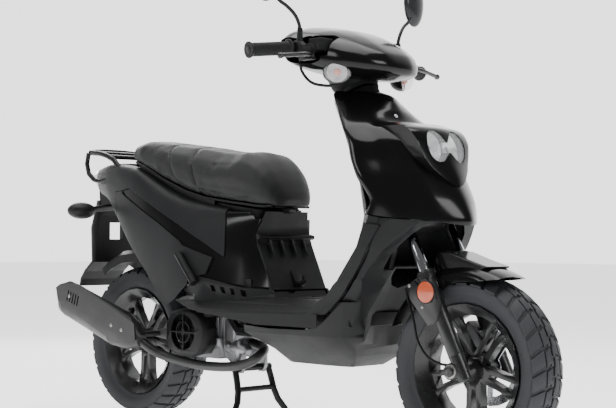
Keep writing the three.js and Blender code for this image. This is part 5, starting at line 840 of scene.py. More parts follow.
@dataclass
class Studio:
    """The camera, the floor and the lights."""

    eye: Point = (2.8169, -2.7488, 0.5510)
    yaw: float = 44.92
    pitch: float = -1.651
    roll: float = 0.197
    lens: float = 79.91
    dim: float = 0.14
    bright: float = 2.4

    def camera(self) -> None:
        """Places the camera at the photograph's viewpoint."""
        yaw, pitch, roll = (math.radians(a) for a in (self.yaw, self.pitch, self.roll))
        back = Vector((math.sin(yaw) * math.cos(pitch), -math.cos(yaw) * math.cos(pitch), math.sin(pitch)))
        right = (-back).cross(Vector((0, 0, 1))).normalized()
        above = right.cross(-back)
        turned = right * math.cos(roll) + above * math.sin(roll)
        upright = above * math.cos(roll) - right * math.sin(roll)
        bpy.ops.object.camera_add(location=self.eye)
        camera = bpy.context.active_object
        matrix = Matrix((turned, upright, back)).transposed().to_4x4()
        matrix.translation = self.eye
        camera.matrix_world = matrix
        camera.data.lens = self.lens
        camera.data.sensor_width = 36
        camera.data.clip_end = 60
        bpy.context.scene.camera = camera

    def floor(self) -> None:
        """Lays the plain pale floor, a flat plane that glows evenly."""
        bpy.ops.object.select_all(action="DESELECT")
        bpy.ops.mesh.primitive_plane_add(size=60, location=(0, 0, 0))
        floor = bpy.context.active_object
        floor.name = "floor"
        shader = Shader("floor")
        shader.link(shader.mixed(shader.noise(2, 2), (0.86, 0.86, 0.86), (0.88, 0.88, 0.88)), "Base Color")
        shader.fixed(Roughness=0.8, Emission_Color=(1, 1, 1, 1), Emission_Strength=1.3, Specular_IOR_Level=0.1)
        floor.data.materials.append(shader.material)

    def light(self, name: str, place: Point, aim: Point, size: tuple[float, float], watts: float) -> None:
        """Hangs one soft box.

        Args:
            name: the lamp's name.
            place: where it hangs.
            aim: the point that it faces.
            size: its width and height.
            watts: its power.
        """
        data = bpy.data.lights.new(name, "AREA")
        data.shape = "RECTANGLE"
        data.size, data.size_y = size
        data.energy = watts
        lamp = bpy.data.objects.new(name, data)
        lamp.location = place
        lamp.rotation_euler = (Vector(aim) - Vector(place)).to_track_quat("-Z", "Y").to_euler()
        bpy.context.scene.collection.objects.link(lamp)

    def lights(self) -> None:
        """Hangs the soft boxes and sets the pale surroundings."""
        self.light("overhead", (0.1, -0.2, 4.4), (0, 0, 0.4), (4.2, 3.4), 210)
        self.light("right_side", (-0.9, -4.6, 3.2), (0, 0, 0.5), (3.0, 1.2), 75)
        self.light("front", (4.4, 0.2, 2.6), (0.3, 0, 0.6), (1.4, 1.8), 60)
        self.light("behind", (-3.4, 1.6, 2.0), (0, 0, 0.6), (1.6, 2.0), 50)
        world = bpy.data.worlds.new("studio")
        world.use_nodes = True
        tree = world.node_tree
        coords = tree.nodes.new("ShaderNodeTexCoord")
        toward = tree.nodes.new("ShaderNodeVectorMath")
        toward.operation = "DOT_PRODUCT"
        toward.inputs[1].default_value = (-0.70, 0.70, -0.02)
        tree.links.new(coords.outputs["Generated"], toward.inputs[0])
        ramp = tree.nodes.new("ShaderNodeMapRange")
        for name, number in (("From Min", 0.1), ("From Max", 0.85), ("To Min", self.dim), ("To Max", self.bright)):
            ramp.inputs[name].default_value = number
        tree.links.new(toward.outputs["Value"], ramp.inputs["Value"])
        background = tree.nodes["Background"]
        background.inputs["Color"].default_value = (1, 1, 1, 1)
        tree.links.new(ramp.outputs["Result"], background.inputs["Strength"])
        bpy.context.scene.world = world

    def build(self) -> None:
        """Sets up the whole studio."""
        self.camera()
        self.floor()
        self.lights()


@dataclass
class Wheel:
    """A tyre with its tread, on a cast rim with paired spokes."""

    shop: Workshop
    name: str
    body: Body
    centre: Point
    tyre_radius: float = 0.236
    tyre_half: float = 0.062
    rim_radius: float = 0.166
    groove: float = 0.0045
    pitches: int = 30

    def crown(self, v: float) -> float:
        """Tread radius at v across the tyre, from -1 to 1."""
        return self.tyre_radius - 0.019 * abs(v) ** 2.4

    def tyre(self) -> None:
        """Spins the carcass and lays the tread blocks round it."""
        rim, half = self.rim_radius, self.tyre_half
        deep = self.tyre_radius - rim
        bead = [(rim - 0.004, 0.62), (rim + 0.004, 0.72), (rim + 0.007, 0.76), (rim + 0.011, 0.77)]
        flank = ((0.24, 0.87), (0.42, 0.955), (0.6, 0.985), (0.67, 0.985))
        wall = bead + [(rim + share * deep, v) for share, v in flank]
        inner = [(self.crown(v) - self.groove, v * 0.955) for v in (0.98, 0.9, 0.75, 0.5, 0.25, 0)]
        right = [(r, -v * half) for r, v in wall + inner]
        profile = right + [(r, -a) for r, a in reversed(right[:-1])]
        carcass = self.shop.lathe(f"{self.name}_carcass", profile + [profile[0]], self.centre, Axis.Y, 120, 40)
        pieces = [carcass, *self.tread()]
        tyre = self.shop.joined(f"{self.name}_tyre.tread", pieces)
        self.shop.dress(tyre, self.body, "tyre", (f"{self.name}_tyre",))

    def block(self, start: float, stop: float, v0: float, v1: float, lean: float) -> bpy.types.Object:
        """One tread block.

        Args:
            start: its first edge along the pitch, from 0 to 1.
            stop: its last edge along the pitch.
            v0: its inner edge across the tyre.
            v1: its outer edge across the tyre.
            lean: how far its edges sweep back towards the shoulder, in pitches.

        Returns:
            The block, at the top of the wheel.
        """
        rows = 5
        points, faces = [], []
        for i in range(rows + 1):
            t = i / rows
            v = v0 + (v1 - v0) * t
            sweep = lean * abs(v) ** 1.6
            for depth, inset in ((self.groove + 0.001, 0.0), (0.0006, 0.0), (0.0, 0.03)):
                radius = self.crown(v) - depth
                for edge in (start + sweep + inset, stop + sweep - inset):
                    angle = edge * math.tau / self.pitches
                    place = Vector((radius * math.sin(angle), v * self.tyre_half, radius * math.cos(angle)))
                    points.append(Vector(self.centre) + place)
        for i in range(rows):
            a, b = i * 6, i * 6 + 6
            for left, right in ((0, 2), (2, 4), (4, 5), (5, 3), (3, 1)):
                faces.append((a + left, b + left, b + right, a + right))
        for base, order in ((0, (0, 2, 4, 5, 3, 1)), (rows * 6, (1, 3, 5, 4, 2, 0))):
            faces.append(tuple(base + i for i in order))
        return self.shop.smooth(self.shop.outward(self.shop.shell("block", points, faces)), 30)

    def tread(self) -> list:
        """Lays one pitch of blocks and copies it round; returns the copies."""
        one = []
        for side in (-1, 1):
            shift = 0.0 if side < 0 else 0.5
            one.append(self.block(0.06 + shift, 0.8 + shift, side * 0.47, side * 0.985, 0.55))
            one.append(self.block(0.1 + shift, 0.86 + shift, side * 0.1, side * 0.4, 0.9))
            one.append(self.block(-0.42 + shift, 0.02 + shift, side * 0.03, side * 0.16, 0.2))
        pitch = self.shop.joined("pitch", one)
        copies = [pitch]
        for i in range(1, self.pitches):
            turn = Matrix.Rotation(math.tau * i / self.pitches, 4, "Y")
            centred = Matrix.Translation(self.centre) @ turn @ Matrix.Translation(-Vector(self.centre))
            copies.append(self.shop.copied(pitch, f"pitch_{i}", centred))
        return copies

    def build(self) -> None:
        """Builds the tyre and smooths the rim."""
        self.tyre()
        self.shop.skin(f"{self.name}_rim", "black_alloy", 40)


@dataclass
class Covers:
    """The painted covers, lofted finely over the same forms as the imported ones."""

    shop: Workshop
    wall: float = 0.004
    wide: float = 0.26
    gap: float = 0.0003
    drop: float = 0.04
    pod_room: float = 0.955

    def side_prism(self, points: list, low: float | None = None, high: float | None = None) -> bpy.types.Object:
        """A cutter: a side-view outline carried across the scooter.

        Args:
            points: (X, Z) corners in metres.
            low: its right face, or None for past the body.
            high: its left face, or None for past the body.

        Returns:
            The cutter.
        """
        y0 = -self.wide if low is None else low
        y1 = self.wide if high is None else high
        return self.prism([(x, y0, z) for x, z in points], [(x, y1, z) for x, z in points])

    def front_prism(self, points: list, x0: float, x1: float) -> bpy.types.Object:
        """A cutter: a front-view outline of (Y, Z) corners carried from x0 to x1."""
        return self.prism([(x0, y, z) for y, z in points], [(x1, y, z) for y, z in points])

    def prism(self, first: list, second: list) -> bpy.types.Object:
        """A closed body between two like outlines."""
        count = len(first)
        faces = [(i, (i + 1) % count, count + (i + 1) % count, count + i) for i in range(count)]
        faces += [tuple(range(count - 1, -1, -1)), tuple(range(count, 2 * count))]
        return self.shop.outward(self.shop.shell("cutter", first + second, faces))

    def span(self, side: int, inner: float) -> list:
        """Right and left limit of one side's part, from a distance off the middle outward."""
        return sorted((side * inner, side * self.wide))

    def finish(self, obj: bpy.types.Object, name: str, body: str, finish: str, replaces: tuple) -> bpy.types.Object:
        """Smooths a cover and dresses it; returns it."""
        self.shop.smooth(self.shop.named(obj, name), 34)
        self.shop.modify(obj, "WEIGHTED_NORMAL", keep_sharp=True)
        return self.shop.dress(obj, body, finish, replaces)

    def shield(self) -> Loft:
        """The leg shield's form."""
        stations = []
        for height, *points in SHIELD_SHARES:
            half = [spot(x, -y, height) for x, y in points]
            stations.append(half + [Vector((p.x, -p.y, p.z)) for p in reversed(half[1:-1])])
        return Loft(stations, 90, 112, Vector((0, 0, 1)))

    def pod_rise(self, point: Vector) -> float:
        """How far the lamp pod stands out of the leg shield's form at a point's height."""
        steps = ((0.0, 0.0), (0.69, 0.0), (0.72, 0.012), (0.78, 0.036), (0.84, 0.054), (2.0, 0.054))
        for (low, first), (high, second) in zip(steps, steps[1:]):
            if point.z <= high:
                return first + (second - first) * (point.z - low) / (high - low)
        return 0.0

    def pod_outline(self, share: float) -> list:
        """The lamp pod's front-view outline, drawn in about its middle by a share."""
        centre = 0.79
        half = [(y * HALF * share, centre + (z - centre) * share) for y, z in POD_SHARES]
        return half + [(-y, z) for y, z in reversed(half[1:-1])]

    def lamp_outline(self, margin: float) -> list:
        """The twin lamp's front-view outline: two lobes and the bridge between them."""
        lobe = [(0.04 + math.cos(a) * (0.034 + margin), 0.802 + math.sin(a) * (0.042 + margin))
                for a in (math.radians(d) for d in range(-120, 126, 5))]
        return [*lobe, (0.0, 0.812 + margin), *[(-y, z) for y, z in reversed(lobe)], (0.0, 0.786 - margin)]

    def fairing(self) -> None:
        """Builds the front fairing with its lamp pod and the opening for the lamp."""
        shop, loft = self.shop, self.shield()
        skin = loft.solid(shop, "fairing")
        shop.carve(skin, loft.solid(shop, "inner", self.wall, 0, -self.wall))
        shop.carve(skin, self.side_prism(side_points(FAIRING_SHARES)), "INTERSECT")
        back, front = 0.365 + SHIFT, 0.75
        shop.carve(skin, self.front_prism(self.pod_outline(self.pod_room), back, front))
        pod = loft.solid(shop, "pod", lambda p: -self.pod_rise(p))
        shop.carve(pod, self.front_prism(self.pod_outline(1.0), back, front), "INTERSECT")
        room = loft.solid(shop, "room", lambda p: self.wall - self.pod_rise(p))
        shop.carve(room, self.front_prism(self.pod_outline(self.pod_room), back, front), "INTERSECT")
        shop.carve(pod, room)
        shop.carve(pod, loft.solid(shop, "inside", self.wall))
        shop.carve(skin, pod, "UNION")
        bezel = loft.solid(shop, "bezel", lambda p: -self.pod_rise(p))
        shop.carve(bezel, self.front_prism(self.lamp_outline(0.005), 0.47, front), "INTERSECT")
        shop.carve(skin, bezel, "UNION")
        shop.carve(skin, self.front_prism(self.lamp_outline(0.0003), 0.4, 0.8))
        shop.carve(skin, shop.cylinder("neck", 0.0525, 0.2, on_axis(0.8), STEER_UP, 64, 0))
        self.finish(skin, "front_fairing.cover", Body.FRAME, "gloss_black", ("front_fairing",))

    def body_loft(self, drop: float = 0.0) -> Loft:
        """The rear body's form; drop lets its floor down, for hollows that are open below."""
        stations = []
        for i, (x, top, top_half, mid_half, mid, low_half, low) in enumerate(BODY_SHARES):
            down = Vector((0, 0, drop if i > 2 else 0.0))
            half = [spot(x, -y, low) - down for y in (0, low_half * 0.6, low_half)]
            half += [spot(x, -mid_half, mid), spot(x, -top_half, top) - Vector((0, 0, 0.008))]
            mirrored = [Vector((p.x, -p.y, p.z)) for p in reversed(half[1:])]
            stations.append([*half, spot(x, 0, top), *mirrored])
        return Loft(stations, 110, 96, Vector((-1, 0, 0)))

    def body_shell(self, depth: float) -> bpy.types.Object:
        """The rear body's wall, depth inside the outer form."""
        shell = self.body_loft(self.drop if depth else 0.0).solid(self.shop, "wall", depth)
        inner = self.body_loft(self.drop).solid(self.shop, "hollow", depth + self.wall, -self.wall - depth, 0.04)
        return self.shop.carve(shell, inner)

    def top_opening(self) -> bpy.types.Object:
        """The cutter that opens the body under the seat."""
        x0, x1 = -0.4667 * LENGTH + SHIFT, 0.1 * LENGTH + SHIFT
        return self.shop.block("opening", (x1 - x0, 0.212, 1.0), ((x0 + x1) / 2, 0, 1.12), (0, 0, 0), 0)

    def rear(self) -> None:
        """Builds the seat cowl, the side covers and the tail lamp's lens."""
        shop = self.shop
        shell = self.body_shell(0.0)
        cowl = shop.copied(shell, "cowl")
        shop.carve(cowl, self.side_prism(side_points(COWL_SIDE_SHARES)), "INTERSECT")
        shop.carve(cowl, self.top_opening())
        lamp = side_points(TAIL_LAMP_SHARES)
        shop.carve(cowl, self.side_prism(lamp))
        self.finish(cowl, "seat_cowl.cover", Body.FRAME, "charcoal", ("seat_cowl",))
        lens = shop.copied(shell, "lens")
        room = 0.001
        inner = [(x - (room if i > 1 else 0), z + (room if i % 3 == 0 else -room)) for i, (x, z) in enumerate(lamp)]
        shop.carve(lens, self.side_prism(inner), "INTERSECT")
        self.finish(lens, "tail_light.lens", Body.FRAME, "red_lens", ("tail_light",))
        for side, node in ((-1, "rear_cover_right"), (1, "rear_cover_left")):
            cover = shop.copied(shell, node)
            shop.carve(cover, self.side_prism(side_points(REAR_COVER_SHARES), *self.span(side, 0.001)), "INTERSECT")
            self.finish(cover, f"{node}.cover", Body.FRAME, "charcoal", (node,))
        bpy.data.objects.remove(shell)

    def side_panels(self) -> None:
        """Lays the six-sided satin panels over the joint of side cover and middle cover."""
        shop, loft = self.shop, self.body_loft()
        outline = side_points(PANEL_SHARES)
        for side, label in SIDES:
            panel = loft.solid(shop, "panel", -0.0014)
            shop.carve(panel, self.side_prism(outline, *self.span(side, 0.1)), "INTERSECT")
            shop.carve(panel, loft.solid(shop, "under", 0.0042))
            self.finish(panel, f"side_panel_{label}", Body.FRAME, "matte_grey", ())

    def centre(self) -> None:
        """Builds the middle cover, which shows between the cowl and the side covers."""
        shop = self.shop
        under = self.wall + self.gap
        shell = self.body_shell(under)
        shop.carve(shell, self.side_prism(side_points(CENTRE_COVER_SHARES)), "INTERSECT")
        edge = side_points(PEDESTAL_SHARES)
        face = [(x - 0.0053, z) for x, z in edge]
        front = self.side_prism(face + [(x - 0.010, z) for x, z in reversed(edge)])
        shop.carve(front, self.body_loft().solid(shop, "outer", under), "INTERSECT")
        shop.carve(shell, front, "UNION")
        behind = face + [(-1.5, 0.3), (-1.5, 0.9), (face[0][0], 0.9)]
        shop.carve(shell, self.side_prism(behind), "INTERSECT")
        shop.carve(shell, self.top_opening())
        self.finish(shell, "center_cover.cover", Body.FRAME, "gloss_black", ("center_cover",))

    def bar_cowl(self) -> None:
        """Builds the cowl over the handlebar and the skirt round the steering column."""
        shop = self.shop
        centre = spot(0.15, 0, 1.07)
        stations = []
        for y, size, back in BAR_COWL_STATION_SHARES:
            loop = []
            for x, z in BAR_COWL_SHARES:
                point = spot(x, 0, z)
                loop.append(Vector((centre.x + (point.x - centre.x) * size + back * LENGTH, y * HALF,
                                    centre.z + (point.z - centre.z) * size)))
            stations.append(loop)
        loft = Loft(stations, 90, 112, Vector((0, 1, 0)))
        cowl = loft.solid(shop, "bar_cowl")
        shop.carve(cowl, loft.solid(shop, "hollow", 0.0035, -0.04, 0.04))
        shop.carve(cowl, shop.cylinder("stem", 0.044, 0.12, on_axis(0.835), STEER_UP, 64, 0))
        for side in (-1, 1):
            inner, outer = grip_ends(side)
            start = inner - (outer - inner) * 0.9
            length, middle = (inner - start).length, (inner + start) / 2
            shop.carve(cowl, shop.cylinder("slot", 0.03, length, middle, outer - inner, 48, 0))
            shop.carve(cowl, shop.ball("signal", signal_centre(side), (0.0406, 0.0346, 0.0306), (0, 0, -side * 0.3)))
        shop.carve(cowl, shop.block("tank", (0.06, 0.08, 0.06), spot(*RESERVOIR_SHARES), (0, 0, 0), 0))
        self.finish(cowl, "handlebar_cowl.cover", Body.STEERING, "gloss_black", ("handlebar_cowl",))
        outer = [(0.05, 0.83), (0.0515, 0.842), (0.066, 0.858), (0.0715, 0.864), (0.0735, 0.872), (0.0765, 0.905)]
        inner = [(0.0735, 0.905), (0.0705, 0.873), (0.0655, 0.863), (0.0495, 0.846)]
        profile = [(0.046, 0.83), *outer, *inner, (0.046, 0.83)]
        skirt = shop.lathe("handlebar_cowl.skirt", profile, STEER_FOOT, STEER_UP, 96)
        shop.dress(skirt, Body.STEERING, "matte_grey")

    def build(self) -> None:
        """Builds every cover."""
        self.fairing()
        self.rear()
        self.side_panels()
        self.centre()
        self.bar_cowl()


@dataclass
class Lamps:
    """Headlight, front direction signals, rear signals and what shows through their lenses."""

    shop: Workshop
    bulb: float = 0.0065

    def bowl(self, name: str, centre: Vector, axis: Vector, rim: float, deep: float, tall: float,
             body: str) -> None:
        """A bright reflector bowl with a stepped rim.

        Args:
            name: the piece's name.
            centre: middle of its rim.
            axis: direction that it shines in.
            rim: radius of its rim.
            deep: depth from rim to throat.
            tall: stretch of its height.
            body: the body that it rides on.
        """
        steps = 14
        inner = [(0.004 + (rim - 0.004) * (i / steps), -deep * (1 - (i / steps) ** 2)) for i in range(steps + 1)]
        skin = [(r + 0.0012, a - 0.0012) for r, a in reversed(inner[:-1])]
        outer = [(rim + 0.002, 0.0), (rim + 0.002, -0.003), *skin]
        obj = self.shop.lathe(name, [*inner, *outer, inner[0]], centre, axis, 64, 40)
        obj.data.transform(taller(centre, tall))
        self.shop.dress(obj, body, "reflector")

    def headlight(self) -> None:
        """Builds the twin lamp: two bowls, their bulbs and hoods, a bridge and the clear lens."""
        shop = self.shop
        for side, label in SIDES:
            axis = Vector((0.94, 0.1 * side, 0.33)).normalized()
            rim = Vector((0.5595, side * 0.0385, 0.8))
            self.bowl(f"headlight_bowl_{label}", rim, axis, 0.033, 0.036, 1.2, Body.FRAME)
            bulb = shop.ball(f"headlight_bulb_{label}", rim - axis * 0.026, (self.bulb, self.bulb, self.bulb * 1.5))
            shop.dress(bulb, Body.FRAME, "clear_lens")
            hood = shop.cylinder(f"headlight_hood_{label}", 0.0085, 0.005, rim - axis * 0.0115, axis, 32, 0.0012)
            shop.dress(hood, Body.FRAME, "chrome")
            collar = shop.cylinder(f"headlight_socket_{label}", 0.012, 0.018, rim - axis * 0.052, axis, 32, 0.001)
            shop.dress(collar, Body.FRAME, "inner_plastic")
        covers = Covers(shop)
        loft = covers.shield()
        lens = loft.solid(shop, "lens", lambda p: 0.003 - covers.pod_rise(p))
        shop.carve(lens, covers.front_prism(covers.lamp_outline(-0.0003), 0.5, 0.75), "INTERSECT")
        shop.carve(lens, loft.solid(shop, "room", lambda p: 0.0046 - covers.pod_rise(p)))
        covers.finish(lens, "headlight_lens.cover", Body.FRAME, "clear_lens", ("headlight_lens",))
        back = shop.block("headlight_wall", (0.003, 0.13, 0.1), (0.515, 0, 0.79), (0, -0.3, 0), 0)
        shop.dress(back, Body.FRAME, "inner_plastic")

    def signal(self, side: int, label: str) -> None:
        """Builds one front signal: a black cup, a bright bowl, an amber bulb and a clear lens."""
        shop = self.shop
        centre = signal_centre(side)
        radii, turn = (0.040, 0.034, 0.030), (0, 0, -side * 0.3)
        axis = Vector((0.84, side * 0.54, -0.04)).normalized()
        split, half, overlap = 0.004, 0.05, 0.0002
        cup = shop.ball(f"front_signal_{label}.cup", centre, radii, turn)
        lens = shop.copied(cup, f"front_signal_{label}.lens")
        for piece, place, thick in ((cup, split + half, 0.003), (lens, split - (half - overlap), 0.0016)):
            shop.carve(piece, shop.cylinder("cut", 0.07, 2 * half, centre + axis * place, axis, 32, 0))
            shop.carve(piece, shop.ball("room", centre, tuple(r - thick for r in radii), turn))
            shop.smooth(piece, 40)
        shop.dress(cup, Body.STEERING, "inner_plastic", (f"front_signal_{label}",))
        shop.dress(lens, Body.STEERING, "clear_lens")
        self.bowl(f"front_signal_bowl_{label}", centre + axis * 0.003, axis, 0.0255, 0.02, 0.98, Body.STEERING)
        bulb = shop.ball(f"front_signal_bulb_{label}", centre + axis * 0.005, (0.0105, 0.0105, 0.0105))
        shop.dress(bulb, Body.STEERING, "amber")
        foot = shop.cylinder(f"front_signal_base_{label}", 0.006, 0.014, centre - axis * 0.009, axis, 24, 0.0008)
        shop.dress(foot, Body.STEERING, "chrome")

    def rear(self) -> None:
        """Builds smooth pods with amber lenses over the stalks of the rear signals."""
        shop = self.shop
        for side, label in SIDES:
            centre = spot(-0.5013, side, 0.652)
            pod = shop.ball(f"rear_signal_{label}.pod", centre, (0.0345, 0.0485, 0.0265))
            lens = shop.copied(pod, f"rear_signal_{label}.lens")
            for piece, shift, finish in ((pod, -0.052, "inner_plastic"), (lens, 0.0285, "amber")):
                cut = shop.block("cut", (0.08, 0.12, 0.08), centre + Vector((shift, 0, 0)), (0, 0, 0), 0)
                shop.dress(shop.smooth(shop.carve(piece, cut), 40), Body.FRAME, finish)

    def build(self) -> None:
        """Builds every lamp."""
        self.headlight()
        self.signal(-1, "right")
        self.signal(1, "left")
        self.rear()


@dataclass
class Controls:
    """Grips, mirrors and the small pieces round the bar."""

    shop: Workshop
    rib: float = 0.0009
    glass_stretch: float = 1.52

    def grip(self, side: int, node: str, body: str) -> None:
        """Builds one ribbed rubber grip with its inner flange and outer bell."""
        start, end = grip_ends(side)
        axis = end - start
        length = axis.length
        outer = [(0.024, 0.0), (0.0243, 0.001), (0.0243, 0.004), (0.0235, 0.0052), (0.0186, 0.0075)]
        ribs = 26
        room = length - 0.022
        for i in range(ribs):
            a = 0.010 + room * i / ribs
            steps = ((0.0, 0.0), (self.rib, 0.25), (self.rib, 0.7), (0.0, 0.92))
            outer += [(0.0174 + rise, a + room / ribs * share) for rise, share in steps]
        outer += [(0.0176, length - 0.011), (0.0205, length - 0.006), (0.022, length - 0.0025), (0.0218, length)]
        profile = [(0.0119, 0.0), *outer, (0.0119, length), (0.0119, 0.0)]
        grip = self.shop.lathe(f"{node}.ribs", profile, start, axis, 64, 28)
        self.shop.dress(grip, body, "rubber", (node,))
        cap = self.shop.cylinder(f"bar_end_{node}", 0.0112, 0.004, end - axis.normalized() * 0.0016, axis, 40, 0.001)
        self.shop.dress(cap, Body.STEERING, "black_steel")

    def mirror(self, side: int, node: str, body: str) -> None:
        """Builds one mirror: the stem with its two nuts, the glossy back and the glass."""
        shop = self.shop
        route = [spot(x, side * y, z) for x, y, z in MIRROR_STEM_SHARES]
        stem = shop.tube(f"{node}.stem", route, 0.0049, 6)
        shop.dress(stem, body, "black_steel")
        for i, (low, high, radius) in enumerate(((1.1126, 1.119, 0.0085), (1.1192, 1.1245, 0.0078))):
            middle = spot(0.148, side * 0.9905, (low + high) / 2)
            nut = shop.cylinder(f"{node}.nut_{i}", radius, high - low, middle, Axis.Z, 6, 0.0006)
            shop.dress(nut, body, "black_steel")
        centre = spot(0.1293, side * 1.5, 1.257)
        toe = math.radians(7) * side
        back = Vector((-math.cos(toe), -math.sin(toe), 0))
        head = shop.ball(f"{node}.head", centre, (0.016, 0.047, 0.07), (0, 0, toe))
        shop.carve(head, shop.cylinder("cut", 0.12, 0.05, centre + back * (0.0082 + 0.025), back, 48, 0))
        shop.smooth(head, 40)
        shop.dress(head, body, "mirror_back", (node,))
        glass = shop.cylinder(f"{node}.glass", 0.0375, 0.0012, centre + back * 0.0078, back, 72, 0.0003)
        glass.data.transform(taller(centre, self.glass_stretch))
        shop.dress(glass, body, "mirror_glass")

    def reservoir(self) -> None:
        """Adds the brake reservoir's lid and its two screws."""
        shop = self.shop
        centre = spot(*RESERVOIR_SHARES)
        lid = shop.block("reservoir_lid", (0.043, 0.049, 0.005), centre + Vector((0, 0, 0.0147)), (0, 0, 0), 0.0018)
        shop.dress(lid, Body.STEERING, "inner_plastic")
        for i, side in enumerate((-1, 1)):
            place = centre + Vector((0.013 * side, 0.017 * side, 0.017))
            Trim.screw(shop, f"reservoir_screw_{i}", place, Vector((0, 0, 1)), 0.003, Body.STEERING, "zinc")

    def build(self) -> None:
        """Builds both sides of the bar."""
        self.grip(-1, "throttle_grip", Body.THROTTLE)
        self.grip(1, "left_grip", Body.STEERING)
        self.mirror(-1, "mirror_right", Body.MIRROR_RIGHT)
        self.mirror(1, "mirror_left", Body.MIRROR_LEFT)
        self.reservoir()


@dataclass
class Fork:
    """Stanchions, slider sleeves, the side reflector and the front mudguard."""

    shop: Workshop
    spread: float = 0.085
    ahead: float = 0.050
    reach: float = 0.264
    half: float = 0.072

    def leg(self, height: float, side: int) -> Vector:
        """The point of a fork leg's line at a height along the steering axis."""
        return on_axis(height) + AHEAD * self.ahead + Vector((0, side * self.spread, 0))

    def rod(self, name: str, low: float, high: float, radius: float, side: int, body: str, finish: str,
            replaces: tuple = ()) -> None:
        """A round length of the leg between two heights."""
        a, b = self.leg(low, side), self.leg(high, side)
        obj = self.shop.cylinder(name, radius, (b - a).length, (a + b) / 2, STEER_UP, 56, 0.0006)
        self.shop.dress(obj, body, finish, replaces)

    def legs(self) -> None:
        """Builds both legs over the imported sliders."""
        for side, label in SIDES:
            tube = f"fork_tube_{label}"
            self.rod(f"{tube}.plated", 0.12, 0.424, 0.015, side, Body.STEERING, "chrome", (tube,))
            foot = 0.012 if side < 0 else 0.0
            self.rod(f"fork_sleeve_{label}", 0.02 + foot, 0.2385, 0.0203, side, Body.FORK_LOWER, "black_alloy")
            seals = ((0.2405, 0.2475, 0.0228), (0.2482, 0.256, 0.0233), (0.2566, 0.2617, 0.0212))
            for i, (low, high, radius) in enumerate(seals):
                self.ring(f"fork_seal_{label}_{i}", low, high, radius, side)
            axle = Vector((0.6782, side * 0.1105, 0.236))
            nut = self.shop.cylinder(f"axle_nut_{label}", 0.0142, 0.0068, axle, Axis.Y, 6, 0.0009)
            self.shop.dress(nut, Body.FORK_LOWER, "black_alloy")
            inboard = axle - Vector((0, side * 0.004, 0))
            washer = self.shop.cylinder(f"axle_washer_{label}", 0.0176, 0.0012, inboard, Axis.Y, 40, 0.0003)
            self.shop.dress(washer, Body.FORK_LOWER, "zinc")

    def ring(self, name: str, low: float, high: float, radius: float, side: int) -> None:
        """One rubber ring of the seal, open for the tube."""
        length = high - low
        profile = [(0.0155, 0), (radius - 0.0006, 0), (radius, 0.0006), (radius, length - 0.0006),
                   (radius - 0.0006, length), (0.0155, length), (0.0155, 0)]
        obj = self.shop.lathe(name, profile, self.leg(low, side), STEER_UP, 64, 30)
        self.shop.dress(obj, Body.FORK_LOWER, "rubber")

    def reflector(self) -> None:
        """Builds the amber side reflector on its black dish, and the bracket's screws."""
        shop = self.shop
        centre = Vector((0.3907 * LENGTH + SHIFT, -0.1108, 0.43))
        dish = [(0.0, 0.0), (0.0286, 0.0), (0.0292, -0.0006), (0.0292, -0.0026), (0.0282, -0.0032),
                (0.027, -0.0026), (0.027, -0.0014), (0.0, -0.0014), (0.0, 0.0)]
        shop.dress(shop.lathe("reflector_dish", dish, centre, Axis.Y, 72, 30), Body.FORK_LOWER, "inner_plastic")
        lens = [(0.0, -0.0016), (0.0266, -0.0016), (0.0266, -0.0027), (0.0256, -0.0032), (0.0, -0.0034),
                (0.0, -0.0016)]
        shop.dress(shop.lathe("reflector_lens", lens, centre, Axis.Y, 72, 30), Body.FORK_LOWER, "amber_reflex")
        for i, (x, z) in enumerate(((0.5902, 0.3923), (0.5475, 0.4445))):
            place = Vector((x, -0.1094, z))
            Trim.screw(shop, f"reflector_screw_{i}", place, Vector((0, -1, 0)), 0.0048, Body.FORK_LOWER, "zinc")

    def guard(self) -> None:
        """Builds the front mudguard: the arch, its crown and the passages for the legs."""
        shop = self.shop
        flank = ((0.78, 1), (0.88, 1), (0.91, 0.965), (0.95, 0.86), (0.972, 0.7), (0.99, 0.5), (0.997, 0.25))
        shares = [(r, -w) for r, w in flank] + [(1, 0), *reversed(flank)]
        wall = 0.003
        outer = [(self.reach * r, self.half * w) for r, w in shares]
        thin = [0, *[wall] * (len(shares) - 2), 0]
        inner = [(self.reach * r - less, (self.half - wall) * w) for less, (r, w) in zip(thin, shares)]
        arch = shop.lathe("arch", [*outer, *reversed(inner), outer[0]], FRONT_AXLE, Axis.Y, 160, 40)
        covers = Covers(shop)
        shop.carve(arch, covers.side_prism(side_points(MUDGUARD_SHARES)), "INTERSECT")
        top = covers.side_prism(side_points(CROWN_SHARES), -0.05, 0.05)
        shop.modify(top, "BEVEL", width=0.006, segments=4, limit_method="ANGLE", angle_limit=math.radians(60))
        shop.carve(arch, top, "UNION")
        shop.carve(arch, covers.side_prism(side_points(CROWN_ROOM_SHARES), -0.047, 0.047))
        for side in (-1, 1):
            a, b = self.leg(-0.034, side), self.leg(0.287, side)
            shop.carve(arch, shop.cylinder("leg", 0.0236, (b - a).length, (a + b) / 2, STEER_UP, 48, 0))
        covers.finish(arch, "front_mudguard.cover", Body.FORK_LOWER, "gloss_black", ("front_mudguard",))

    def build(self) -> None:
        """Builds the fork's dress and the mudguard."""
        self.legs()
        self.reflector()
        self.guard()


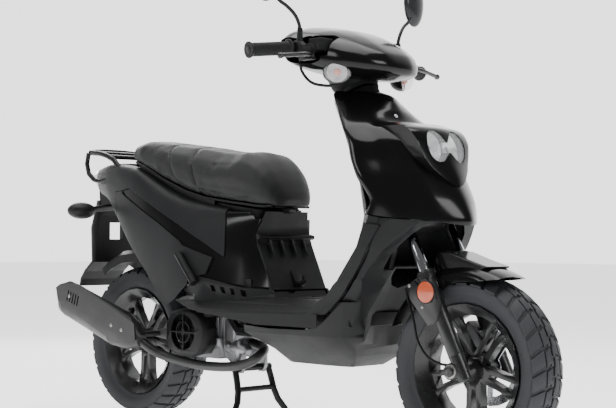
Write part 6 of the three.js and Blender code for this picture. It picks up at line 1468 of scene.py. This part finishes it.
@dataclass
class Exhaust:
    """The bent pipe, the muffler with its seams and the shield's screws."""

    shop: Workshop

    def build(self) -> None:
        """Builds the exhaust as one piece, and the heat shield's fasteners."""
        shop = self.shop
        a, b = spot(-0.5733, -0.83, 0.372), spot(-0.3333, -0.8, 0.256)
        axis = b - a
        length = axis.length
        muffler = shop.lathe("muffler", [(r, s * length) for s, r in MUFFLER_RADII], a, axis, 72, 32)
        pipe = shop.tube("pipe", [spot(*place) for place in PIPE_SHARES], 0.0139, 8)
        unit = axis.normalized()
        tail_foot = a - unit * 0.014
        tail = [(0.009, 0.0), (0.0105, -0.0008), (0.012, 0.0006), (0.012, 0.02), (0.009, 0.02), (0.009, 0.0)]
        tail_pipe = shop.lathe("tail", tail, tail_foot, axis, 40, 30)
        pieces = [muffler, pipe, tail_pipe]
        for i, (x, z) in enumerate(((-0.52, 0.35), (-0.3733, 0.276))):
            pieces.append(shop.cylinder(f"post_{i}", 0.007, 0.0527, (x * LENGTH + SHIFT, -0.1964, z), Axis.Y, 24, 0))
        pieces.append(shop.cylinder("hanger", 0.008, 0.0666, (-0.3373 * LENGTH + SHIFT, -0.1167, 0.273), Axis.Y, 24, 0))
        shop.dress(shop.joined("exhaust.shell", pieces), Body.SWING, "exhaust_black", ("exhaust",))
        for i, (x, z) in enumerate(((-0.7575, 0.383), (-0.4888, 0.2889), (-0.5385, 0.3017))):
            place = Vector((x, -0.2276, z))
            Trim.screw(shop, f"shield_screw_{i}", place, Vector((0, -1, 0)), 0.0062, Body.SWING, "zinc")


@dataclass
class Trim:
    """Screws, bolts, rubber rims and dark inner walls that only the dressed model carries."""

    shop: Workshop

    @staticmethod
    def screw(shop: Workshop, name: str, place: Vector, axis: Vector, radius: float, body: str, finish: str) -> None:
        """A domed screw head with a cross recess.

        Args:
            shop: the workshop.
            name: the piece's name.
            place: middle of the surface under the head.
            axis: direction that the head faces.
            radius: radius of the head.
            body: the body that it rides on.
            finish: its finish.
        """
        axis = axis.normalized()
        tall = radius * 0.42
        dome = [(radius, tall * 0.4), (radius * 0.82, tall * 0.82), (radius * 0.4, tall)]
        profile = [(0.0, 0.0), (radius, 0.0), *dome, (0.0, tall)]
        head = shop.lathe(name, profile, place - axis * 0.0004, axis, 32, 40)
        turn = axis.to_track_quat("Z", "Y").to_euler()
        for angle in (0.0, math.pi / 2):
            slot = shop.block("slot", (radius * 1.05, radius * 0.2, tall), (0, 0, 0), (0, 0, angle), 0)
            matrix = Matrix.Translation(place + axis * tall * 0.95) @ turn.to_matrix().to_4x4()
            slot.data.transform(matrix)
            shop.carve(head, slot)
        shop.dress(head, body, finish)

    def build(self) -> None:
        """Builds the fasteners that show."""
        shop = self.shop
        place, facing = Vector((0.4268, -0.0224, 0.8897)), Vector((0.85, -0.05, 0.53))
        self.screw(shop, "fairing_screw", place, facing, 0.0058, Body.FRAME, "chrome")
        for side, label in SIDES:
            place, facing = Vector((0.5168, side * 0.1668, 0.6714)), Vector((0.55, side * 0.83, 0.14))
            self.screw(shop, f"fairing_bolt_{label}", place, facing, 0.007, Body.FRAME, "zinc")
        self.backing()
        self.gasket()
        self.case_bolts()

    def gasket(self) -> None:
        """Raises the body's rubber rim along both sides, up to the seat's base."""
        base = self.shop.frame["nodes"]["seat_base"]
        first, last, count, middle, thick, tall = -0.55, -0.1, 19, 0.1095, 0.004, 0.0165
        line = []
        for i in range(count):
            x = first + (last - first) * i / (count - 1)
            found, place, *_ = base.ray_cast(Vector((x, -middle, 0.5)), Vector((0, 0, 1)))
            if found:
                line.append((x, place.z - 0.0008))
        outline = line + [(x, z - tall) for x, z in reversed(line)]
        for side, label in SIDES:
            near, far = sorted((side * (middle - thick / 2), side * (middle + thick / 2)))
            rim = self.shop.named(Covers(self.shop).side_prism(outline, near, far), f"seat_gasket_{label}")
            self.shop.dress(self.shop.smooth(rim), Body.FRAME, "rubber")

    def case_bolts(self) -> None:
        """Sets the cover bolts along both edges of the drive case."""
        case = self.shop.frame["nodes"]["engine_case"]
        inward, step, back = Vector((0, -1, 0)), 0.004, 0.012
        number = 0
        for x in (-0.62, -0.55, -0.48, -0.41, -0.34):
            hits = []
            for i in range(60):
                found, place, normal, _ = case.ray_cast(Vector((x, 0.4, 0.16 + step * i)), inward)
                if found and normal.y > 0.95 and place.y > 0.09:
                    hits.append(place)
            if len(hits) < 12:
                continue
            for place, shift in ((hits[0], back), (hits[-1], -back)):
                middle = place + Vector((0, 0, shift))
                self.screw(self.shop, f"case_bolt_{number}", middle, -inward, 0.0062, Body.SWING, "zinc")
                number += 1

    def backing(self) -> None:
        """Sets dark inner walls behind the vents and under the seat's pedestal."""
        level = (0, 0, 0)
        walls = [
            ("vent_backing_right", (0.16, 0.002, 0.05), (-0.095, -0.146, 0.425), (0, 0, 0.17), 0),
            ("vent_backing_left", (0.16, 0.002, 0.05), (-0.095, 0.146, 0.425), (0, 0, -0.17), 0),
            ("pedestal_floor", (0.1, 0.22, 0.002), (0.0, 0, 0.405), level, 0),
            ("tunnel_wall", (0.16, 0.34, 0.036), (0.315, 0, 0.352), level, 0.002),
        ]
        for wall in walls:
            self.shop.dress(self.shop.block(*wall), Body.FRAME, "inner_plastic")


@dataclass
class Seat:
    """The padded seat, swollen by a cloth run, with its sewn seams pressed in."""

    shop: Workshop
    voxel: float = 0.0045
    cap: float = 0.005
    shrink: float = 0.003
    frames: int = 20
    seams: tuple = (((-0.2993, 0.88), (-0.2453, 0.72)), ((-0.2287, 0.87), (-0.1827, 0.69)))

    def blank(self) -> bpy.types.Object:
        """A closed, evenly meshed copy of the cushion, drawn in a little."""
        obj = self.shop.merged("seat_cushion", "seat_cushion.pad", 0.00002)
        self.shop.modify(obj, "REMESH", mode="VOXEL", voxel_size=self.voxel)
        self.shop.modify(obj, "SMOOTH", factor=0.5, iterations=14)
        self.shop.modify(obj, "DISPLACE", strength=-self.shrink, mid_level=0.0, direction="NORMAL")
        return obj

    def swell(self, obj: bpy.types.Object) -> None:
        """Inflates the cover under pressure and keeps each point's move within the cap."""
        scene = bpy.context.scene
        before = [v.co.copy() for v in obj.data.vertices]
        modifier = obj.modifiers.new("cloth", "CLOTH")
        modifier.settings.use_pressure = True
        modifier.settings.uniform_pressure_force = 4
        modifier.settings.quality = 5
        modifier.settings.effector_weights.gravity = 0
        modifier.point_cache.frame_start = 1
        modifier.point_cache.frame_end = self.frames
        for number in range(1, self.frames + 1):
            scene.frame_set(number)
        swollen = obj.evaluated_get(bpy.context.evaluated_depsgraph_get())
        after = [v.co.copy() for v in swollen.data.vertices]
        obj.modifiers.remove(modifier)
        scene.frame_set(1)
        for vertex, old, new in zip(obj.data.vertices, before, after):
            move = new - old
            if move.length > self.cap:
                move = move.normalized() * self.cap
            if vertex.normal.z < -0.6:
                move = Vector((0, 0, 0))
            vertex.co = old + move

    def sew(self, obj: bpy.types.Object) -> None:
        """Presses the seams in along their planes, with a stitched dimple every few millimetres."""
        lines = [[Vector((x * LENGTH + SHIFT, 0, z)) for x, z in seam] for seam in self.seams]
        normals = [v.normal.copy() for v in obj.data.vertices]
        for vertex, normal in zip(obj.data.vertices, normals):
            flat = Vector((vertex.co.x, 0, vertex.co.z))
            for a, b in lines:
                along = (b - a).normalized()
                across = (flat - a) - along * (flat - a).dot(along)
                distance = across.length
                if distance < 0.016:
                    stitch = 1 + 0.25 * math.cos(vertex.co.y * math.tau / 0.008)
                    crease = 0.0034 * math.exp(-(distance / 0.0028) ** 2) * stitch
                    valley = 0.0016 * math.exp(-(distance / 0.009) ** 2)
                    vertex.co -= normal * (crease + valley)

    def build(self) -> None:
        """Builds the pad and presses its seams in."""
        obj = self.blank()
        self.swell(obj)
        self.shop.modify(obj, "SMOOTH", factor=0.5, iterations=12)
        self.shop.modify(obj, "SUBSURF", levels=1, render_levels=1)
        self.sew(obj)
        self.shop.modify(obj, "SMOOTH", factor=0.4, iterations=1)
        self.shop.smooth(obj, 80)
        self.shop.dress(obj, Body.SEAT, "vinyl", ("seat_cushion",))


@dataclass
class CarriedOver:
    """Nodes whose CAD shape stays, with smooth faces and a detailed finish."""

    shop: Workshop
    finishes: dict[str, str] = field(default_factory=lambda: {
        "fork_slider_right": "black_alloy",
        "fork_slider_left": "black_alloy",
        "brake_lever_right": "black_alloy",
        "brake_lever_left": "black_alloy",
        "heat_shield": "exhaust_black",
    })
    done_elsewhere: tuple = (
        "front_tyre", "rear_tyre", "front_rim", "rear_rim", "front_fairing", "seat_cowl", "tail_light",
        "rear_cover_right", "rear_cover_left", "center_cover", "handlebar_cowl", "headlight_lens",
        "front_signal_right", "front_signal_left", "throttle_grip", "left_grip", "mirror_right", "mirror_left",
        "fork_tube_right", "fork_tube_left", "front_mudguard", "exhaust", "seat_cushion", "shock_spring",
    )
    rounded: tuple = (
        "fork_slider_right", "fork_slider_left", "luggage_rack", "handlebar", "steering_stem",
        "shock_upper", "shock_lower", "brake_lever_right", "brake_lever_left", "control_cable",
        "speedometer_cable", "centre_stand", "kick_lever", "carburettor", "start_button", "horn_button",
    )

    def spring(self) -> None:
        """Skins the shock spring and gives the skin a mesh of its own."""
        piece = self.shop.skin("shock_spring", None, 56)
        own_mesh(piece)

    def build(self) -> None:
        """Skins every node that no other class builds."""
        for node in self.shop.frame["nodes"]:
            if node not in self.done_elsewhere:
                self.shop.skin(node, self.finishes.get(node), 56 if node in self.rounded else 34)
        self.spring()


def main() -> None:
    """Dresses the scooter."""
    logging.basicConfig(level=logging.INFO, format="%(name)s: %(message)s")
    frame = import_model()
    shop = Workshop(frame)
    Studio().build()
    Wheel(shop, "front", Body.FRONT_WHEEL, FRONT_AXLE).build()
    Wheel(shop, "rear", Body.REAR_WHEEL, REAR_AXLE).build()
    Covers(shop).build()
    Seat(shop).build()
    Lamps(shop).build()
    Controls(shop).build()
    Fork(shop).build()
    Exhaust(shop).build()
    Trim(shop).build()
    CarriedOver(shop).build()


if __name__ == "__main__":
    main()
